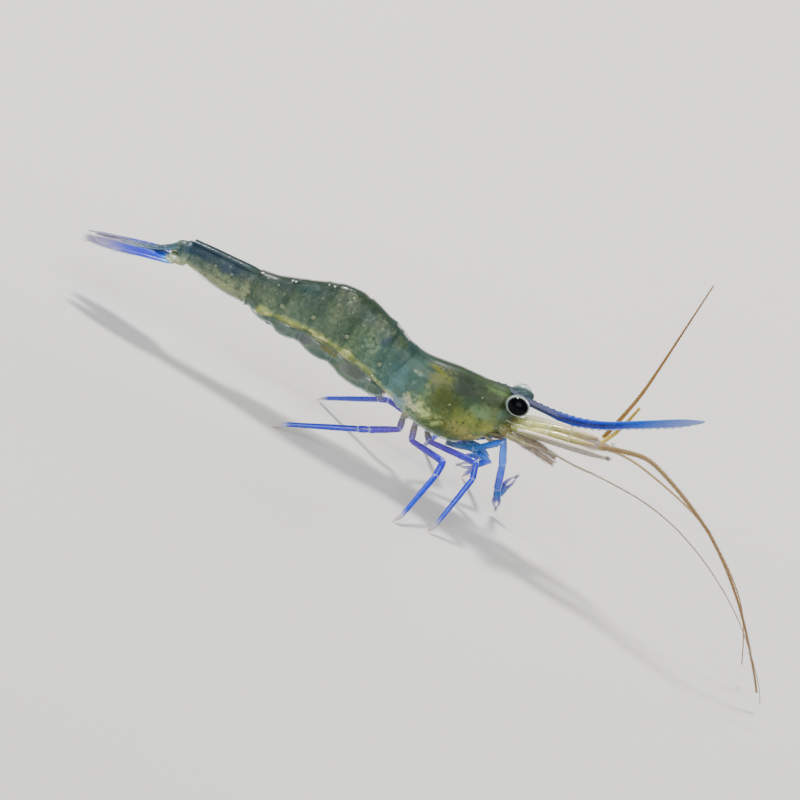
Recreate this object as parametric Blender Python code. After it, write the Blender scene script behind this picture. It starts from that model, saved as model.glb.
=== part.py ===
"""Freshwater shrimp, a still life-size museum model, standing on its six walking feet.

Lengths are in millimetres and are scaled to metres when a mesh is made. The head is
towards +X, up is +Z, and the animal's right side is towards -Y. The floor is z = 0.
"""

import math

import bmesh
import bpy
from mathutils import Vector

MM = 0.001

# Fit between neighbouring parts.
GAP = 0.08

# Outline of the trunk, as (x, z) or (x, half width) along the animal.
BACK = (
    (-10.75, 5.46), (-9.0, 5.68), (-7.0, 5.84), (-6.0, 6.07), (-5.0, 6.49), (-4.0, 6.96), (-3.0, 7.40),
    (-2.2, 7.53), (-1.3, 7.42), (-0.5, 7.23), (0.5, 6.80), (1.5, 6.43), (2.2, 6.42), (3.0, 6.55),
    (4.0, 6.72), (6.0, 6.88), (6.95, 6.95), (7.12, 6.62), (7.35, 6.08), (7.62, 5.86),
)
HALF_WIDTH = (
    (-10.75, 0.56), (-9.0, 0.68), (-7.0, 0.82), (-5.0, 1.02), (-3.0, 1.15), (-1.0, 1.20), (1.0, 1.17),
    (2.2, 1.16), (3.5, 1.32), (5.0, 1.33), (6.0, 1.20), (7.0, 0.98), (7.62, 0.72),
)
ABDOMEN_HEM = (
    (-6.9, 4.10), (-6.2, 4.00), (-5.0, 3.80), (-3.5, 3.80), (-2.0, 3.70), (-1.0, 3.54), (0.0, 3.38),
    (1.6, 3.24),
)
ABDOMEN_BELLY = (
    (-6.9, 4.25), (-6.2, 4.32), (-5.0, 4.51), (-3.0, 4.72), (-1.0, 4.62), (0.0, 4.48), (1.0, 4.20),
    (2.0, 4.00),
)
CARAPACE_HEM = (
    (1.2, 3.60), (2.0, 3.57), (3.0, 3.50), (4.0, 3.28), (5.0, 3.24), (5.5, 3.32), (6.0, 3.52), (6.5, 3.90),
    (7.0, 4.38), (7.3, 4.72), (7.62, 5.12),
)
CARAPACE_BELLY = ((1.2, 4.02), (3.0, 3.92), (5.0, 3.90), (6.0, 4.20), (6.8, 4.90), (7.2, 5.25), (7.62, 5.46))
TAIL_BOTTOM = ((-10.75, 4.14), (-10.0, 4.02), (-8.0, 3.81), (-6.5, 3.90))

# The widest level of a section, and how far the hem is tucked in below it.
WAIST = 0.44
TUCK = 0.86
SIDE_PLATE = 0.26

# Joints between trunk plates: x on the back, and x at the hem.
PLATE_JOINTS = ((0.62, 0.80), (-1.32, -1.78), (-3.30, -3.62), (-5.02, -5.22), (-6.86, -6.62))
JOINT_TOP = 7.3
JOINT_HEM = 3.5
MIDDLE_LEVEL = 0.5 * (JOINT_TOP + JOINT_HEM)

# Rear edge of the carapace: x on the back, how far its lower part reaches back, and between which levels.
CARAPACE_REAR = 1.88
CARAPACE_LAP = 0.86
LAP_TOP = 6.1
LAP_BOTTOM = 4.6
TAIL_END = -10.75
CARAPACE_FRONT = 7.62

# Rostrum: upper and lower edge on the midline, and its saw teeth.
ROSTRUM_TOP = (
    (7.16, 6.98), (8.1, 7.06), (9.0, 7.15), (10.0, 7.34), (11.0, 7.66), (12.0, 8.17), (13.0, 8.83),
    (14.0, 9.50), (15.0, 10.16), (16.0, 10.66),
)
ROSTRUM_BOTTOM = (
    (7.16, 6.82), (7.5, 6.66), (8.2, 6.68), (9.0, 6.74), (10.0, 6.83), (11.0, 7.18), (12.0, 7.68),
    (13.0, 8.35), (14.0, 9.00), (15.0, 9.68), (16.0, 10.56),
)
ROSTRUM_HALF_THICKNESS = ((7.16, 0.22), (9.0, 0.19), (12.0, 0.16), (16.0, 0.08))
ROSTRUM_RINGS = 46
LOWER_TEETH_START = 10.4
TOOTH_DEPTH = 0.07

# Eyes and the roots of their stalks. The left eye is carried a little lower than the right one.
EYE_CENTRES = {"left": (7.48, 1.08, 6.66), "right": (7.52, -1.17, 6.80)}
EYESTALK_ROOTS = {"left": (7.30, 0.38, 6.40), "right": (7.30, -0.40, 6.44)}
EYE_RADIUS = 0.58
EYESTALK_RADIUS = 0.22

# Straight limbs and feelers of the left side, as (x, y, z, radius) at each joint.
ANTENNULE = (
    (7.78, 0.45, 5.46, 0.32), (8.6, 0.46, 5.66, 0.32), (9.5, 0.48, 6.08, 0.31), (10.6, 0.50, 6.42, 0.28),
    (11.85, 0.53, 6.80, 0.32),
)
ANTENNA_BASE = ((7.75, 1.00, 5.16, 0.28), (8.7, 1.06, 5.22, 0.27), (9.8, 1.02, 5.48, 0.20))
MAXILLIPED = (
    (7.05, 0.42, 4.55, 0.18), (7.95, 0.50, 4.98, 0.20), (9.3, 0.50, 4.98, 0.22), (10.5, 0.46, 4.84, 0.18),
)

# Scale of the antenna: root, tip, half width and the slope that sets its outer edge higher.
SCALE_ROOT = (8.15, 1.06, 5.62)
SCALE_TIP = (12.95, 0.86, 6.72)
SCALE_HALF_WIDTH = 0.46
SCALE_SLOPE = math.radians(38.0)
FIN_THICKNESS = 0.36

# Feelers: control points in mm, radius at the root and tip, and the number of lengths.
FEELERS = {
    "antennule_outer_feeler_right": (
        ((12.05, -0.78, 6.92), (13.6, -1.10, 7.60), (15.1, -1.50, 7.78), (18.8, -2.40, 6.51),
         (21.8, -3.00, 4.34), (24.1, -3.40, 1.87), (24.9, -3.55, 0.85)), 0.24, 0.19, 2),
    "antennule_inner_feeler_right": (
        ((12.05, -0.27, 6.78), (14.0, -0.45, 7.06), (17.6, -0.80, 6.46), (19.6, -1.00, 5.58),
         (21.6, -1.20, 4.16), (22.8, -1.30, 2.71), (23.7, -1.40, 0.95)), 0.22, 0.19, 2),
    "antennule_outer_feeler_left": (
        ((12.05, 0.80, 6.92), (12.32, 1.00, 8.10), (12.6, 1.30, 9.63), (12.72, 1.60, 11.1),
         (12.85, 2.05, 13.7), (12.97, 2.40, 16.2)), 0.24, 0.19, 2),
    "antennule_inner_feeler_left": (
        ((12.05, 0.27, 6.80), (12.42, 0.40, 7.50), (12.68, 0.52, 8.40), (12.86, 0.60, 9.30)), 0.22, 0.20, 1),
    "antenna_feeler_right": (
        ((9.96, -1.03, 5.52), (11.5, -1.32, 5.62), (13.1, -1.65, 5.90), (16.0, -2.50, 6.15),
         (19.0, -3.50, 5.60), (22.0, -4.50, 4.20), (24.4, -5.20, 2.20), (25.2, -5.45, 1.10)), 0.21, 0.19, 2),
    "antenna_feeler_left": (
        ((9.96, 1.03, 5.52), (10.9, 1.45, 5.62), (11.2, 2.50, 5.70), (9.9, 3.60, 5.55), (7.0, 4.40, 5.10),
         (4.0, 4.85, 4.60), (1.0, 5.00, 4.20), (-2.0, 4.95, 3.90), (-6.0, 4.50, 3.50)), 0.21, 0.19, 2),
}

# A limb that bends more sharply than this has no ring at the joint itself.
SHARP_BEND = math.radians(120.0)
ANKLE_HEIGHT = 0.16

# Walking legs and claw legs: joints from hip to tip as (x, y, z, radius). Walking feet end on z = 0.
CLAW_LEGS = {
    "leg_1_right": ((6.15, -0.36, 3.30, 0.20), (6.95, -0.40, 3.36, 0.21), (7.72, -0.66, 3.30, 0.21),
                    (7.10, -1.20, 2.92, 0.24), (6.45, -1.50, 2.66, 0.14)),
    "leg_1_left": ((6.15, 0.36, 3.30, 0.20), (6.95, 0.42, 3.36, 0.21), (7.45, 0.74, 3.02, 0.21),
                   (6.85, 1.10, 2.40, 0.24), (6.45, 1.30, 2.00, 0.14)),
    "leg_2_right": ((5.45, -0.62, 3.02, 0.21), (6.72, -0.92, 3.60, 0.21), (7.80, -1.02, 4.70, 0.22),
                    (8.35, -1.05, 3.68, 0.24), (8.75, -1.10, 2.42, 0.22), (8.98, -1.12, 1.95, 0.24),
                    (9.17, -1.15, 1.50, 0.14)),
    "leg_2_left": ((5.45, 0.62, 3.02, 0.21), (6.72, 0.92, 3.60, 0.21), (7.66, 1.05, 4.40, 0.22),
                   (8.35, 1.40, 2.95, 0.23), (9.02, 1.90, 0.80, 0.21), (9.10, 2.00, 1.66, 0.25),
                   (9.34, 2.10, 2.36, 0.14)),
}
WALKING_LEGS = {
    "leg_3_right": ((4.30, -0.62, 2.98, 0.24), (4.62, -1.18, 2.84, 0.24), (7.14, -2.40, 3.56, 0.25),
                    (7.40, -2.90, 2.88, 0.24), (6.94, -4.60, 0.42, 0.20), (6.74, -4.90, 0.0, 0.22)),
    "leg_3_left": ((4.30, 0.62, 2.98, 0.24), (4.62, 1.18, 2.80, 0.24), (7.50, 2.30, 2.46, 0.25),
                   (7.46, 2.80, 1.86, 0.24), (7.12, 4.10, 0.42, 0.20), (6.98, 4.36, 0.0, 0.22)),
    "leg_4_right": ((3.60, -0.62, 2.98, 0.24), (3.82, -1.22, 2.42, 0.24), (5.72, -2.70, 2.84, 0.26),
                    (5.72, -3.30, 2.20, 0.24), (5.24, -5.72, 0.42, 0.20), (4.98, -6.08, 0.0, 0.22)),
    "leg_4_left": ((3.60, 0.62, 2.98, 0.24), (3.82, 1.22, 2.60, 0.24), (5.00, 2.90, 3.00, 0.26),
                   (5.00, 3.40, 2.30, 0.24), (4.62, 4.95, 0.42, 0.20), (4.44, 5.22, 0.0, 0.22)),
    "leg_5_right": ((2.90, -0.62, 2.98, 0.24), (3.02, -1.14, 2.58, 0.24), (1.72, -1.92, 2.06, 0.25),
                    (1.22, -2.04, 1.84, 0.24), (-2.02, -2.84, 0.42, 0.20), (-2.52, -3.05, 0.0, 0.22)),
    "leg_5_left": ((2.90, 0.62, 2.98, 0.24), (2.98, 1.14, 2.70, 0.24), (1.85, 1.56, 2.66, 0.25),
                   (1.40, 1.86, 2.34, 0.24), (-0.95, 3.35, 0.42, 0.20), (-1.36, 3.66, 0.0, 0.22)),
}

# Underside of the thorax between the legs, as (x, half width, z of the bottom).
THORAX = ((2.30, 0.20, 3.30), (2.9, 0.34, 2.92), (4.5, 0.36, 2.88), (5.6, 0.34, 3.04), (6.6, 0.16, 3.62))

# Swimming legs: x of each root, and how far the paddle swings forwards.
SWIMMERET_ROOTS = (0.55, -0.75, -2.60, -4.35, -6.00)
SWIMMERET_SIDE = 0.40
SWIMMERET_SWING = 0.80

# Tail fan, left side: middle line from root to tip, half width and slope of each blade.
TELSON = (
    ((-10.92, 0.0, 4.88), (-11.5, 0.0, 4.46), (-12.2, 0.0, 4.08), (-13.3, 0.0, 3.74), (-14.4, 0.0, 3.48)),
    0.38, 0.0,
)
INNER_BLADE = (((-10.95, 0.32, 4.14), (-15.15, 0.52, 2.70)), 0.31, math.radians(6.0))
OUTER_BLADE = (((-10.95, 0.82, 4.16), (-15.65, 1.50, 2.74)), 0.42, math.radians(14.0))

PALETTE = {
    "shell": ((0.16, 0.27, 0.22), 0.22),
    "rostrum": ((0.03, 0.10, 0.50), 0.25),
    "flesh": ((0.45, 0.47, 0.22), 0.40),
    "leg": ((0.06, 0.09, 0.45), 0.25),
    "claw_leg": ((0.05, 0.18, 0.42), 0.25),
    "feeler": ((0.42, 0.28, 0.14), 0.45),
    "pale": ((0.62, 0.62, 0.45), 0.35),
    "eye": ((0.01, 0.012, 0.015), 0.08),
    "tail_fin": ((0.05, 0.14, 0.62), 0.28),
}


def clear_scene():
    """Remove every object, so that a second run starts clean."""
    for old in list(bpy.data.objects):
        bpy.data.objects.remove(old, do_unlink=True)


def finish_material(key):
    """A Principled material from the palette, made once."""
    name = "shrimp_" + key
    found = bpy.data.materials.get(name)
    if found:
        return found
    colour, roughness = PALETTE[key]
    material = bpy.data.materials.new(name)
    material.use_nodes = True
    shader = material.node_tree.nodes["Principled BSDF"]
    shader.inputs["Base Color"].default_value = (*colour, 1.0)
    shader.inputs["Roughness"].default_value = roughness
    shader.inputs["Metallic"].default_value = 0.0
    return material


def through(points):
    """Smooth function of x through (x, value) pairs, by cubic Hermite spans."""
    points = sorted(points)
    xs = [p[0] for p in points]
    ys = [p[1] for p in points]
    last = len(xs) - 1

    def slope(i):
        a = max(i - 1, 0)
        b = min(i + 1, last)
        return (ys[b] - ys[a]) / (xs[b] - xs[a])

    def value(x):
        x = min(max(x, xs[0]), xs[last])
        i = 0
        while i < last - 1 and x > xs[i + 1]:
            i += 1
        span = xs[i + 1] - xs[i]
        t = (x - xs[i]) / span
        start = (1 + 2 * t) * (1 - t) ** 2 * ys[i] + t * (1 - t) ** 2 * slope(i) * span
        end = t * t * (3 - 2 * t) * ys[i + 1] - t * t * (1 - t) * slope(i + 1) * span
        return start + end

    return value


back_z = through(BACK)
half_width = through(HALF_WIDTH)
abdomen_hem = through(ABDOMEN_HEM)
abdomen_belly = through(ABDOMEN_BELLY)
carapace_hem = through(CARAPACE_HEM)
carapace_belly = through(CARAPACE_BELLY)
tail_bottom = through(TAIL_BOTTOM)


def mirrored(points):
    """The same points on the right side of the animal."""
    return [(p[0], -p[1], *p[2:]) for p in points]


def add_object(name, bm, key):
    """Turn a bmesh in millimetres into a named object in metres."""
    bmesh.ops.scale(bm, vec=(MM, MM, MM), verts=bm.verts)
    bmesh.ops.recalc_face_normals(bm, faces=bm.faces)
    mesh = bpy.data.meshes.new(name)
    bm.to_mesh(mesh)
    bm.free()
    mesh.shade_smooth()
    mesh.set_sharp_from_angle(angle=math.radians(50.0))
    made = bpy.data.objects.new(name, mesh)
    made.data.materials.append(finish_material(key))
    bpy.context.collection.objects.link(made)
    return made


def loft(name, rings, key, strip_caps=False):
    """Closed solid through rings of equal point count, capped at both ends."""
    bm = bmesh.new()
    rows = [[bm.verts.new(p) for p in ring] for ring in rings]
    count = len(rows[0])
    for row, after in zip(rows, rows[1:]):
        for i in range(count):
            j = (i + 1) % count
            bm.faces.new((row[i], row[j], after[j], after[i]))
    for row in (rows[0], rows[-1]):
        if strip_caps:
            half = count // 2
            for i in range(half - 1):
                bm.faces.new((row[i], row[i + 1], row[count - 2 - i], row[count - 1 - i]))
        else:
            bm.faces.new(row)
    return add_object(name, bm, key)


def section_side(x, hem, upper_spans=5, lower_spans=2):
    """Outer points of a trunk section from the back down to the left hem, as (y, z)."""
    top = back_z(x)
    bottom = hem(x)
    wide = half_width(x)
    waist = bottom + WAIST * (top - bottom)
    side = []
    for i in range(upper_spans + 1):
        turn = 0.5 * math.pi * i / upper_spans
        side.append((wide * math.sin(turn), waist + (top - waist) * math.cos(turn)))
    for i in range(1, lower_spans + 1):
        drop = i / lower_spans
        side.append((wide * (1.0 - (1.0 - TUCK) * drop * drop), waist + (bottom - waist) * drop))
    return side


def arch_ring(x, hem, belly, x_at, edge_lift):
    """Section of a plate over its flesh: outer arch and the channel between the side plates."""
    outer = section_side(x, hem)
    top = outer[0][1]
    bottom = outer[-1][1]
    left = []
    for y, z in outer:
        depth = (top - z) / (top - bottom)
        left.append((x_at(z), y, z + edge_lift * depth ** 6))
    hem_z = left[-1][2]
    inner_y = left[-1][1] - SIDE_PLATE
    roof = min(belly(x), top - 0.3)
    upper = len(outer) - 3
    inner = []
    for i in range(len(outer)):
        if i <= upper:
            y = 0.92 * inner_y * i / upper
            z = roof
        else:
            drop = 0.5 * (i - upper)
            y = inner_y * (0.92 + 0.08 * drop)
            z = roof + (hem_z - roof) * drop
        inner.append((x_at(z), y, z))
    right = [(px, -py, pz) for px, py, pz in left[1:]]
    inner_right = [(px, -py, pz) for px, py, pz in inner[::-1]]
    return left[::-1] + right + inner_right + inner[1:]


def joint_line(x_back, x_hem):
    """Function of z for the x of a joint that leans between the back and the hem."""

    def x_at(z):
        depth = min(max((JOINT_TOP - z) / (JOINT_TOP - JOINT_HEM), 0.0), 1.0)
        return x_back + (x_hem - x_back) * depth * depth

    return x_at


def carapace_rear(z):
    """x of the rear edge of the carapace at a level."""
    t = min(max((LAP_TOP - z) / (LAP_TOP - LAP_BOTTOM), 0.0), 1.0)
    return CARAPACE_REAR - CARAPACE_LAP * t * t * (3.0 - 2.0 * t)


def between(front, rear, share):
    """Function of z for a line part of the way from a front line to a rear line."""
    return lambda z: front(z) * (1.0 - share) + rear(z) * share


def plate(name, front, rear, hem, belly, spans, ease=1.0, corner=0.16):
    """One trunk plate between two joints, each a function of z that gives x."""
    rings = []
    for i in range(spans + 1):
        along = (i / spans) ** ease
        x_at = between(front, rear, along)
        edge = abs(2.0 * along - 1.0)
        rings.append(arch_ring(x_at(MIDDLE_LEVEL), hem, belly, x_at, corner * edge ** 3))
    return loft(name, rings, "shell", strip_caps=True)


def build_carapace():
    """Carapace from its rear edge to the front of the head, with the gill-chamber flaps."""
    plate(
        "carapace", carapace_rear, lambda z: CARAPACE_FRONT, carapace_hem, carapace_belly, 15,
        ease=0.86, corner=0.0,
    )


def behind(joint):
    """The front of the plate that follows a joint, one gap behind it."""
    return lambda z: joint(z) - GAP


def build_abdomen():
    """Six abdominal somites; the first five have side plates, the sixth is a closed tube."""
    joints = [carapace_rear] + [joint_line(*pair) for pair in PLATE_JOINTS]
    for i in range(5):
        plate(f"abdomen_{i + 1}", behind(joints[i]), joints[i + 1], abdomen_hem, abdomen_belly, 4)
    front = behind(joints[-1])
    sides = 16
    spans = 6
    rings = []
    for i in range(spans + 1):
        along = i / spans
        x = front(MIDDLE_LEVEL) * (1.0 - along) + TAIL_END * along
        middle = 0.5 * (back_z(x) + tail_bottom(x))
        half_height = 0.5 * (back_z(x) - tail_bottom(x))
        ring = []
        for k in range(sides):
            turn = 2.0 * math.pi * k / sides
            z = middle + half_height * math.cos(turn)
            ring.append((front(z) * (1.0 - along) + TAIL_END * along, half_width(x) * math.sin(turn), z))
        rings.append(ring)
    loft("abdomen_6", rings, "shell")


def build_thorax():
    """Sternal keel between the roots of the legs."""
    rings = []
    for x, wide, bottom in THORAX:
        top = carapace_belly(x) - GAP
        rings.append([(x, wide, bottom + 0.12), (x, wide, top), (x, -wide, top), (x, -wide, bottom + 0.12),
                      (x, 0.0, bottom)])
    loft("thorax", rings, "flesh")


def build_rostrum():
    """Upcurved blade with saw teeth along the outer part of its lower edge."""
    top_edge = through(ROSTRUM_TOP)
    bottom_edge = through(ROSTRUM_BOTTOM)
    thickness = through(ROSTRUM_HALF_THICKNESS)
    start = ROSTRUM_TOP[0][0]
    end = ROSTRUM_TOP[-1][0]
    rings = []
    for i in range(ROSTRUM_RINGS + 1):
        x = start + (end - start) * i / ROSTRUM_RINGS
        top = top_edge(x)
        bottom = bottom_edge(x)
        if x > LOWER_TEETH_START and i % 2 and i < ROSTRUM_RINGS:
            bottom -= TOOTH_DEPTH
        wide = thickness(x)
        middle = 0.5 * (top + bottom)
        rings.append([(x, 0.0, bottom), (x, wide, middle - 0.04), (x, 0.6 * wide, top - 0.05), (x, 0.0, top),
                      (x, -0.6 * wide, top - 0.05), (x, -wide, middle - 0.04)])
    loft("rostrum", rings, "rostrum")


def ring_frame(direction):
    """Two unit vectors across a direction, the first one level where it can be."""
    up = Vector((0.0, 0.0, 1.0))
    across = direction.cross(up)
    if across.length < 1e-4:
        across = Vector((0.0, 1.0, 0.0))
    across.normalize()
    return across, across.cross(direction).normalized()


def circle_ring(centre, direction, radius, sides):
    """Points of a circle around a centre, square to a direction."""
    across, up = ring_frame(direction)
    ring = []
    for k in range(sides):
        turn = 2.0 * math.pi * k / sides
        ring.append(centre + radius * (math.cos(turn) * across + math.sin(turn) * up))
    return ring


def spokes(ring):
    """Unit vectors from the middle of a ring to its points."""
    middle = sum(ring, Vector()) / len(ring)
    return [(p - middle).normalized() for p in ring]


def aligned(rings):
    """Turn each ring's numbering so that it follows the ring before it without a twist."""
    made = [rings[0]]
    for ring in rings[1:]:
        count = len(ring)
        before = spokes(made[-1])
        after = spokes(ring)

        def miss(shift):
            return sum((after[(k + shift) % count] - before[k]).length for k in range(count))

        best = min(range(count), key=miss)
        made.append([ring[(k + best) % count] for k in range(count)])
    return made


def jointed_limb(name, joints, key, sides=8, flat_foot=False):
    """Limb of straight lengths with knuckles, through (x, y, z, radius) joints."""
    centres = [Vector(j[:3]) for j in joints]
    radii = [j[3] for j in joints]
    last = len(centres) - 1
    runs = [(b - a).normalized() for a, b in zip(centres, centres[1:])]
    rings = [circle_ring(centres[0], runs[0], radii[0], sides)]
    for i in range(1, last):
        before = runs[i - 1]
        after = runs[i]
        bend = before.angle(after, 0.0)
        reach = 0.08 + 1.15 * radii[i] * math.tan(min(0.5 * bend, 1.0))
        rings.append(circle_ring(centres[i] - reach * before, before, 0.94 * radii[i], sides))
        if bend < SHARP_BEND:
            rings.append(circle_ring(centres[i], (before + after).normalized(), 1.04 * radii[i], sides))
        rings.append(circle_ring(centres[i] + reach * after, after, 0.94 * radii[i], sides))
    down = Vector((0.0, 0.0, -1.0))
    if flat_foot:
        ankle = (runs[-1] + 1.5 * down).normalized()
        rings.append(circle_ring(centres[last] - ANKLE_HEIGHT * down, ankle, 0.9 * radii[last], sides))
        rings.append(circle_ring(centres[last], down, radii[last], sides))
    else:
        rings.append(circle_ring(centres[last] - 0.12 * runs[-1], runs[-1], radii[last], sides))
        rings.append(circle_ring(centres[last], runs[-1], 0.55 * radii[last], sides))
    return loft(name, aligned(rings), key)


def spline_point(points, t):
    """Point at t, from 0 to 1, of a smooth curve through the points."""
    last = len(points) - 1
    place = min(max(t, 0.0), 1.0) * last
    i = min(int(place), last - 1)
    u = place - i
    a = points[max(i - 1, 0)]
    b = points[i]
    c = points[i + 1]
    d = points[min(i + 2, last)]
    square = 2 * a - 5 * b + 4 * c - d
    cube = 3 * b - a - 3 * c + d
    return 0.5 * (2 * b + (c - a) * u + square * u * u + cube * u ** 3)


def build_feeler(name, points, root_radius, tip_radius, lengths):
    """Long feeler, divided into lengths that meet at small gaps."""
    points = [Vector(p) for p in points]
    reach = sum((b - a).length for a, b in zip(points, points[1:]))
    half_gap = 0.5 * GAP / reach
    rings_each = 9 if lengths > 1 else 8
    for part in range(lengths):
        start = part / lengths + (half_gap if part else 0.0)
        end = (part + 1) / lengths - (half_gap if part < lengths - 1 else 0.0)
        rings = []
        for i in range(rings_each + 1):
            t = start + (end - start) * i / rings_each
            step = 0.002
            direction = (spline_point(points, t + step) - spline_point(points, t - step)).normalized()
            radius = root_radius + (tip_radius - root_radius) * t
            rings.append(circle_ring(spline_point(points, t), direction, radius, 6))
        label = name if lengths == 1 else f"{name}_{part + 1}"
        loft(label, aligned(rings), "feeler")


def build_blade(name, line, half_wide, slope, key, root_share=0.55, tip_share=0.35):
    """Flat leaf along a middle line; its outer edge is lower by the slope."""
    line = [Vector(p) for p in line]
    side = -1.0 if line[0].y < 0.0 else 1.0
    widest = 0.62
    rings_count = 8
    rings = []
    for i in range(rings_count + 1):
        t = i / rings_count
        step = 0.02
        along = (spline_point(line, t + step) - spline_point(line, t - step)).normalized()
        across = (Vector((0.0, 1.0, 0.0)) - along * along.y).normalized()
        up = along.cross(across)
        up = up if up.z > 0.0 else -up
        edge = math.cos(slope) * across - side * math.sin(slope) * up
        face = math.cos(slope) * up + side * math.sin(slope) * across
        if t < widest:
            swell = math.sin(0.5 * math.pi * t / widest)
            share = root_share + (1.0 - root_share) * swell
        else:
            swell = math.cos(0.5 * math.pi * (t - widest) / (1.0 - widest))
            share = tip_share + (1.0 - tip_share) * swell
        wide = half_wide * share
        thick = 0.5 * FIN_THICKNESS * (1.0 - 0.25 * t)
        ring = []
        for k in range(8):
            turn = 2.0 * math.pi * (k + 0.5) / 8
            spread = 1.08 * wide * math.cos(turn) * edge + 1.08 * thick * math.sin(turn) * face
            ring.append(spline_point(line, t) + spread)
        rings.append(ring)
    return loft(name, rings, key)


def build_eye(name):
    """Round eye and the cup-ended stalk that carries it."""
    centre = Vector(EYE_CENTRES[name])
    root = Vector(EYESTALK_ROOTS[name])
    bm = bmesh.new()
    bmesh.ops.create_uvsphere(bm, u_segments=16, v_segments=10, radius=EYE_RADIUS)
    bmesh.ops.translate(bm, vec=centre, verts=bm.verts)
    add_object(f"eye_{name}", bm, "eye")
    axis = (centre - root).normalized()
    cup = EYE_RADIUS + GAP
    rim = 0.44
    rim_back = math.sqrt(cup * cup - rim * rim)
    inner = 0.22
    inner_back = math.sqrt(cup * cup - inner * inner)
    rings = [
        circle_ring(root, axis, EYESTALK_RADIUS, 10),
        circle_ring(root + 0.14 * axis, axis, 1.15 * EYESTALK_RADIUS, 10),
        circle_ring(centre - (rim_back + 0.10) * axis, axis, rim + 0.02, 10),
        circle_ring(centre - (rim_back - 0.02) * axis, axis, rim + 0.03, 10),
        circle_ring(centre - (inner_back + 0.01) * axis, axis, inner, 10),
    ]
    loft(f"eyestalk_{name}", rings, "flesh")


def build_swimmerets():
    """Five pairs of paddles folded up between the side plates."""
    for i, x in enumerate(SWIMMERET_ROOTS):
        roof = abdomen_belly(x) - GAP
        low = abdomen_hem(x + 0.6) + 0.06
        middle = 0.5 * (roof + low)
        path = (
            (x, SWIMMERET_SIDE, roof - 0.02, 0.17),
            (x + 0.10, SWIMMERET_SIDE, middle, 0.20),
            (x + SWIMMERET_SWING, SWIMMERET_SIDE, low + 0.10, 0.18),
        )
        jointed_limb(f"swimmeret_{i + 1}_left", path, "pale", sides=6)
        jointed_limb(f"swimmeret_{i + 1}_right", mirrored(path), "pale", sides=6)


def build_tail_fan():
    """Telson and the two blades of each uropod."""
    line, wide, slope = TELSON
    build_blade("telson", line, wide, slope, "shell", root_share=1.0, tip_share=0.3)
    for label, (line, wide, slope) in (("inner", INNER_BLADE), ("outer", OUTER_BLADE)):
        build_blade(f"uropod_{label}_left", line, wide, slope, "tail_fin")
        build_blade(f"uropod_{label}_right", mirrored(line), wide, slope, "tail_fin")


def build_head_limbs():
    """Antennules, antenna bases with their scales, and the third maxillipeds, on both sides."""
    sets = (("antennule", ANTENNULE), ("antenna_base", ANTENNA_BASE), ("maxilliped", MAXILLIPED))
    for label, joints in sets:
        jointed_limb(f"{label}_left", joints, "pale")
        jointed_limb(f"{label}_right", mirrored(joints), "pale")
    line = (SCALE_ROOT, SCALE_TIP)
    build_blade("antennal_scale_left", line, SCALE_HALF_WIDTH, -SCALE_SLOPE, "pale", tip_share=0.5)
    build_blade("antennal_scale_right", mirrored(line), SCALE_HALF_WIDTH, -SCALE_SLOPE, "pale", tip_share=0.5)
    for name in EYE_CENTRES:
        build_eye(name)


def centre_on_floor():
    """Parent all parts to one empty that sets the origin at the middle of the floor box."""
    parts = [o for o in bpy.data.objects if o.type == "MESH"]
    xs = [v.co.x for o in parts for v in o.data.vertices]
    ys = [v.co.y for o in parts for v in o.data.vertices]
    anchor = bpy.data.objects.new("shrimp", None)
    bpy.context.collection.objects.link(anchor)
    anchor.location = (-0.5 * (min(xs) + max(xs)), -0.5 * (min(ys) + max(ys)), 0.0)
    for o in parts:
        o.parent = anchor


def build():
    """Model the whole shrimp."""
    clear_scene()
    build_carapace()
    build_abdomen()
    build_thorax()
    build_rostrum()
    build_head_limbs()
    for name, (points, root_radius, tip_radius, lengths) in FEELERS.items():
        build_feeler(name, points, root_radius, tip_radius, lengths)
    for name, joints in CLAW_LEGS.items():
        jointed_limb(name, joints, "claw_leg")
    for name, joints in WALKING_LEGS.items():
        jointed_limb(name, joints, "leg", flat_foot=True)
    build_swimmerets()
    build_tail_fan()
    centre_on_floor()


build()
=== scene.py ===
import math
import random

import bmesh
import bpy
import numpy as np
from mathutils import Matrix, Vector, geometry, noise
from mathutils.bvhtree import BVHTree


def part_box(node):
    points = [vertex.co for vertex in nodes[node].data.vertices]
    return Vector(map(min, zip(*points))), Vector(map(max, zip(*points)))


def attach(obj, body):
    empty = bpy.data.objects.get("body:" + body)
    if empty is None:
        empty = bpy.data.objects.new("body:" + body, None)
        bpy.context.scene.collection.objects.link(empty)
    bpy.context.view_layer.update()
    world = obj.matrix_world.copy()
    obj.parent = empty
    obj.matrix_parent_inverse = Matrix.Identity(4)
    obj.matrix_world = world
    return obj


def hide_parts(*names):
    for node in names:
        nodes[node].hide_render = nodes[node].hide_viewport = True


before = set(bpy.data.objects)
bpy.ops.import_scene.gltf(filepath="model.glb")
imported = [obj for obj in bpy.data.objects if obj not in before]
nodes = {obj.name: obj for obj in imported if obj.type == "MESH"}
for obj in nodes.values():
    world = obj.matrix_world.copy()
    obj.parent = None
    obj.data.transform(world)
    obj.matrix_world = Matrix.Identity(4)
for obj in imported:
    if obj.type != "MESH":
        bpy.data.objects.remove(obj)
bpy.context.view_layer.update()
print("frame loaded,", len(nodes), "nodes")

# Everything below is worked out in millimetres from home, the floor point 16 mm behind
# the tip of the rostrum, and goes back to metres when a mesh is made.
mm = 0.001
rostrumLow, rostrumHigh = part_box("rostrum")
home = Vector((rostrumHigh.x - 16.0 * mm, 0.5 * (rostrumLow.y + rostrumHigh.y), 0.0))
sides = {"Left": 1.0, "Right": -1.0}


# small helpers

def fade(value, low, high):
    # 0 at low and before it, 1 at high and past it; high may be the smaller number
    return np.clip((value - low) / (high - low), 0.0, 1.0)


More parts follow.
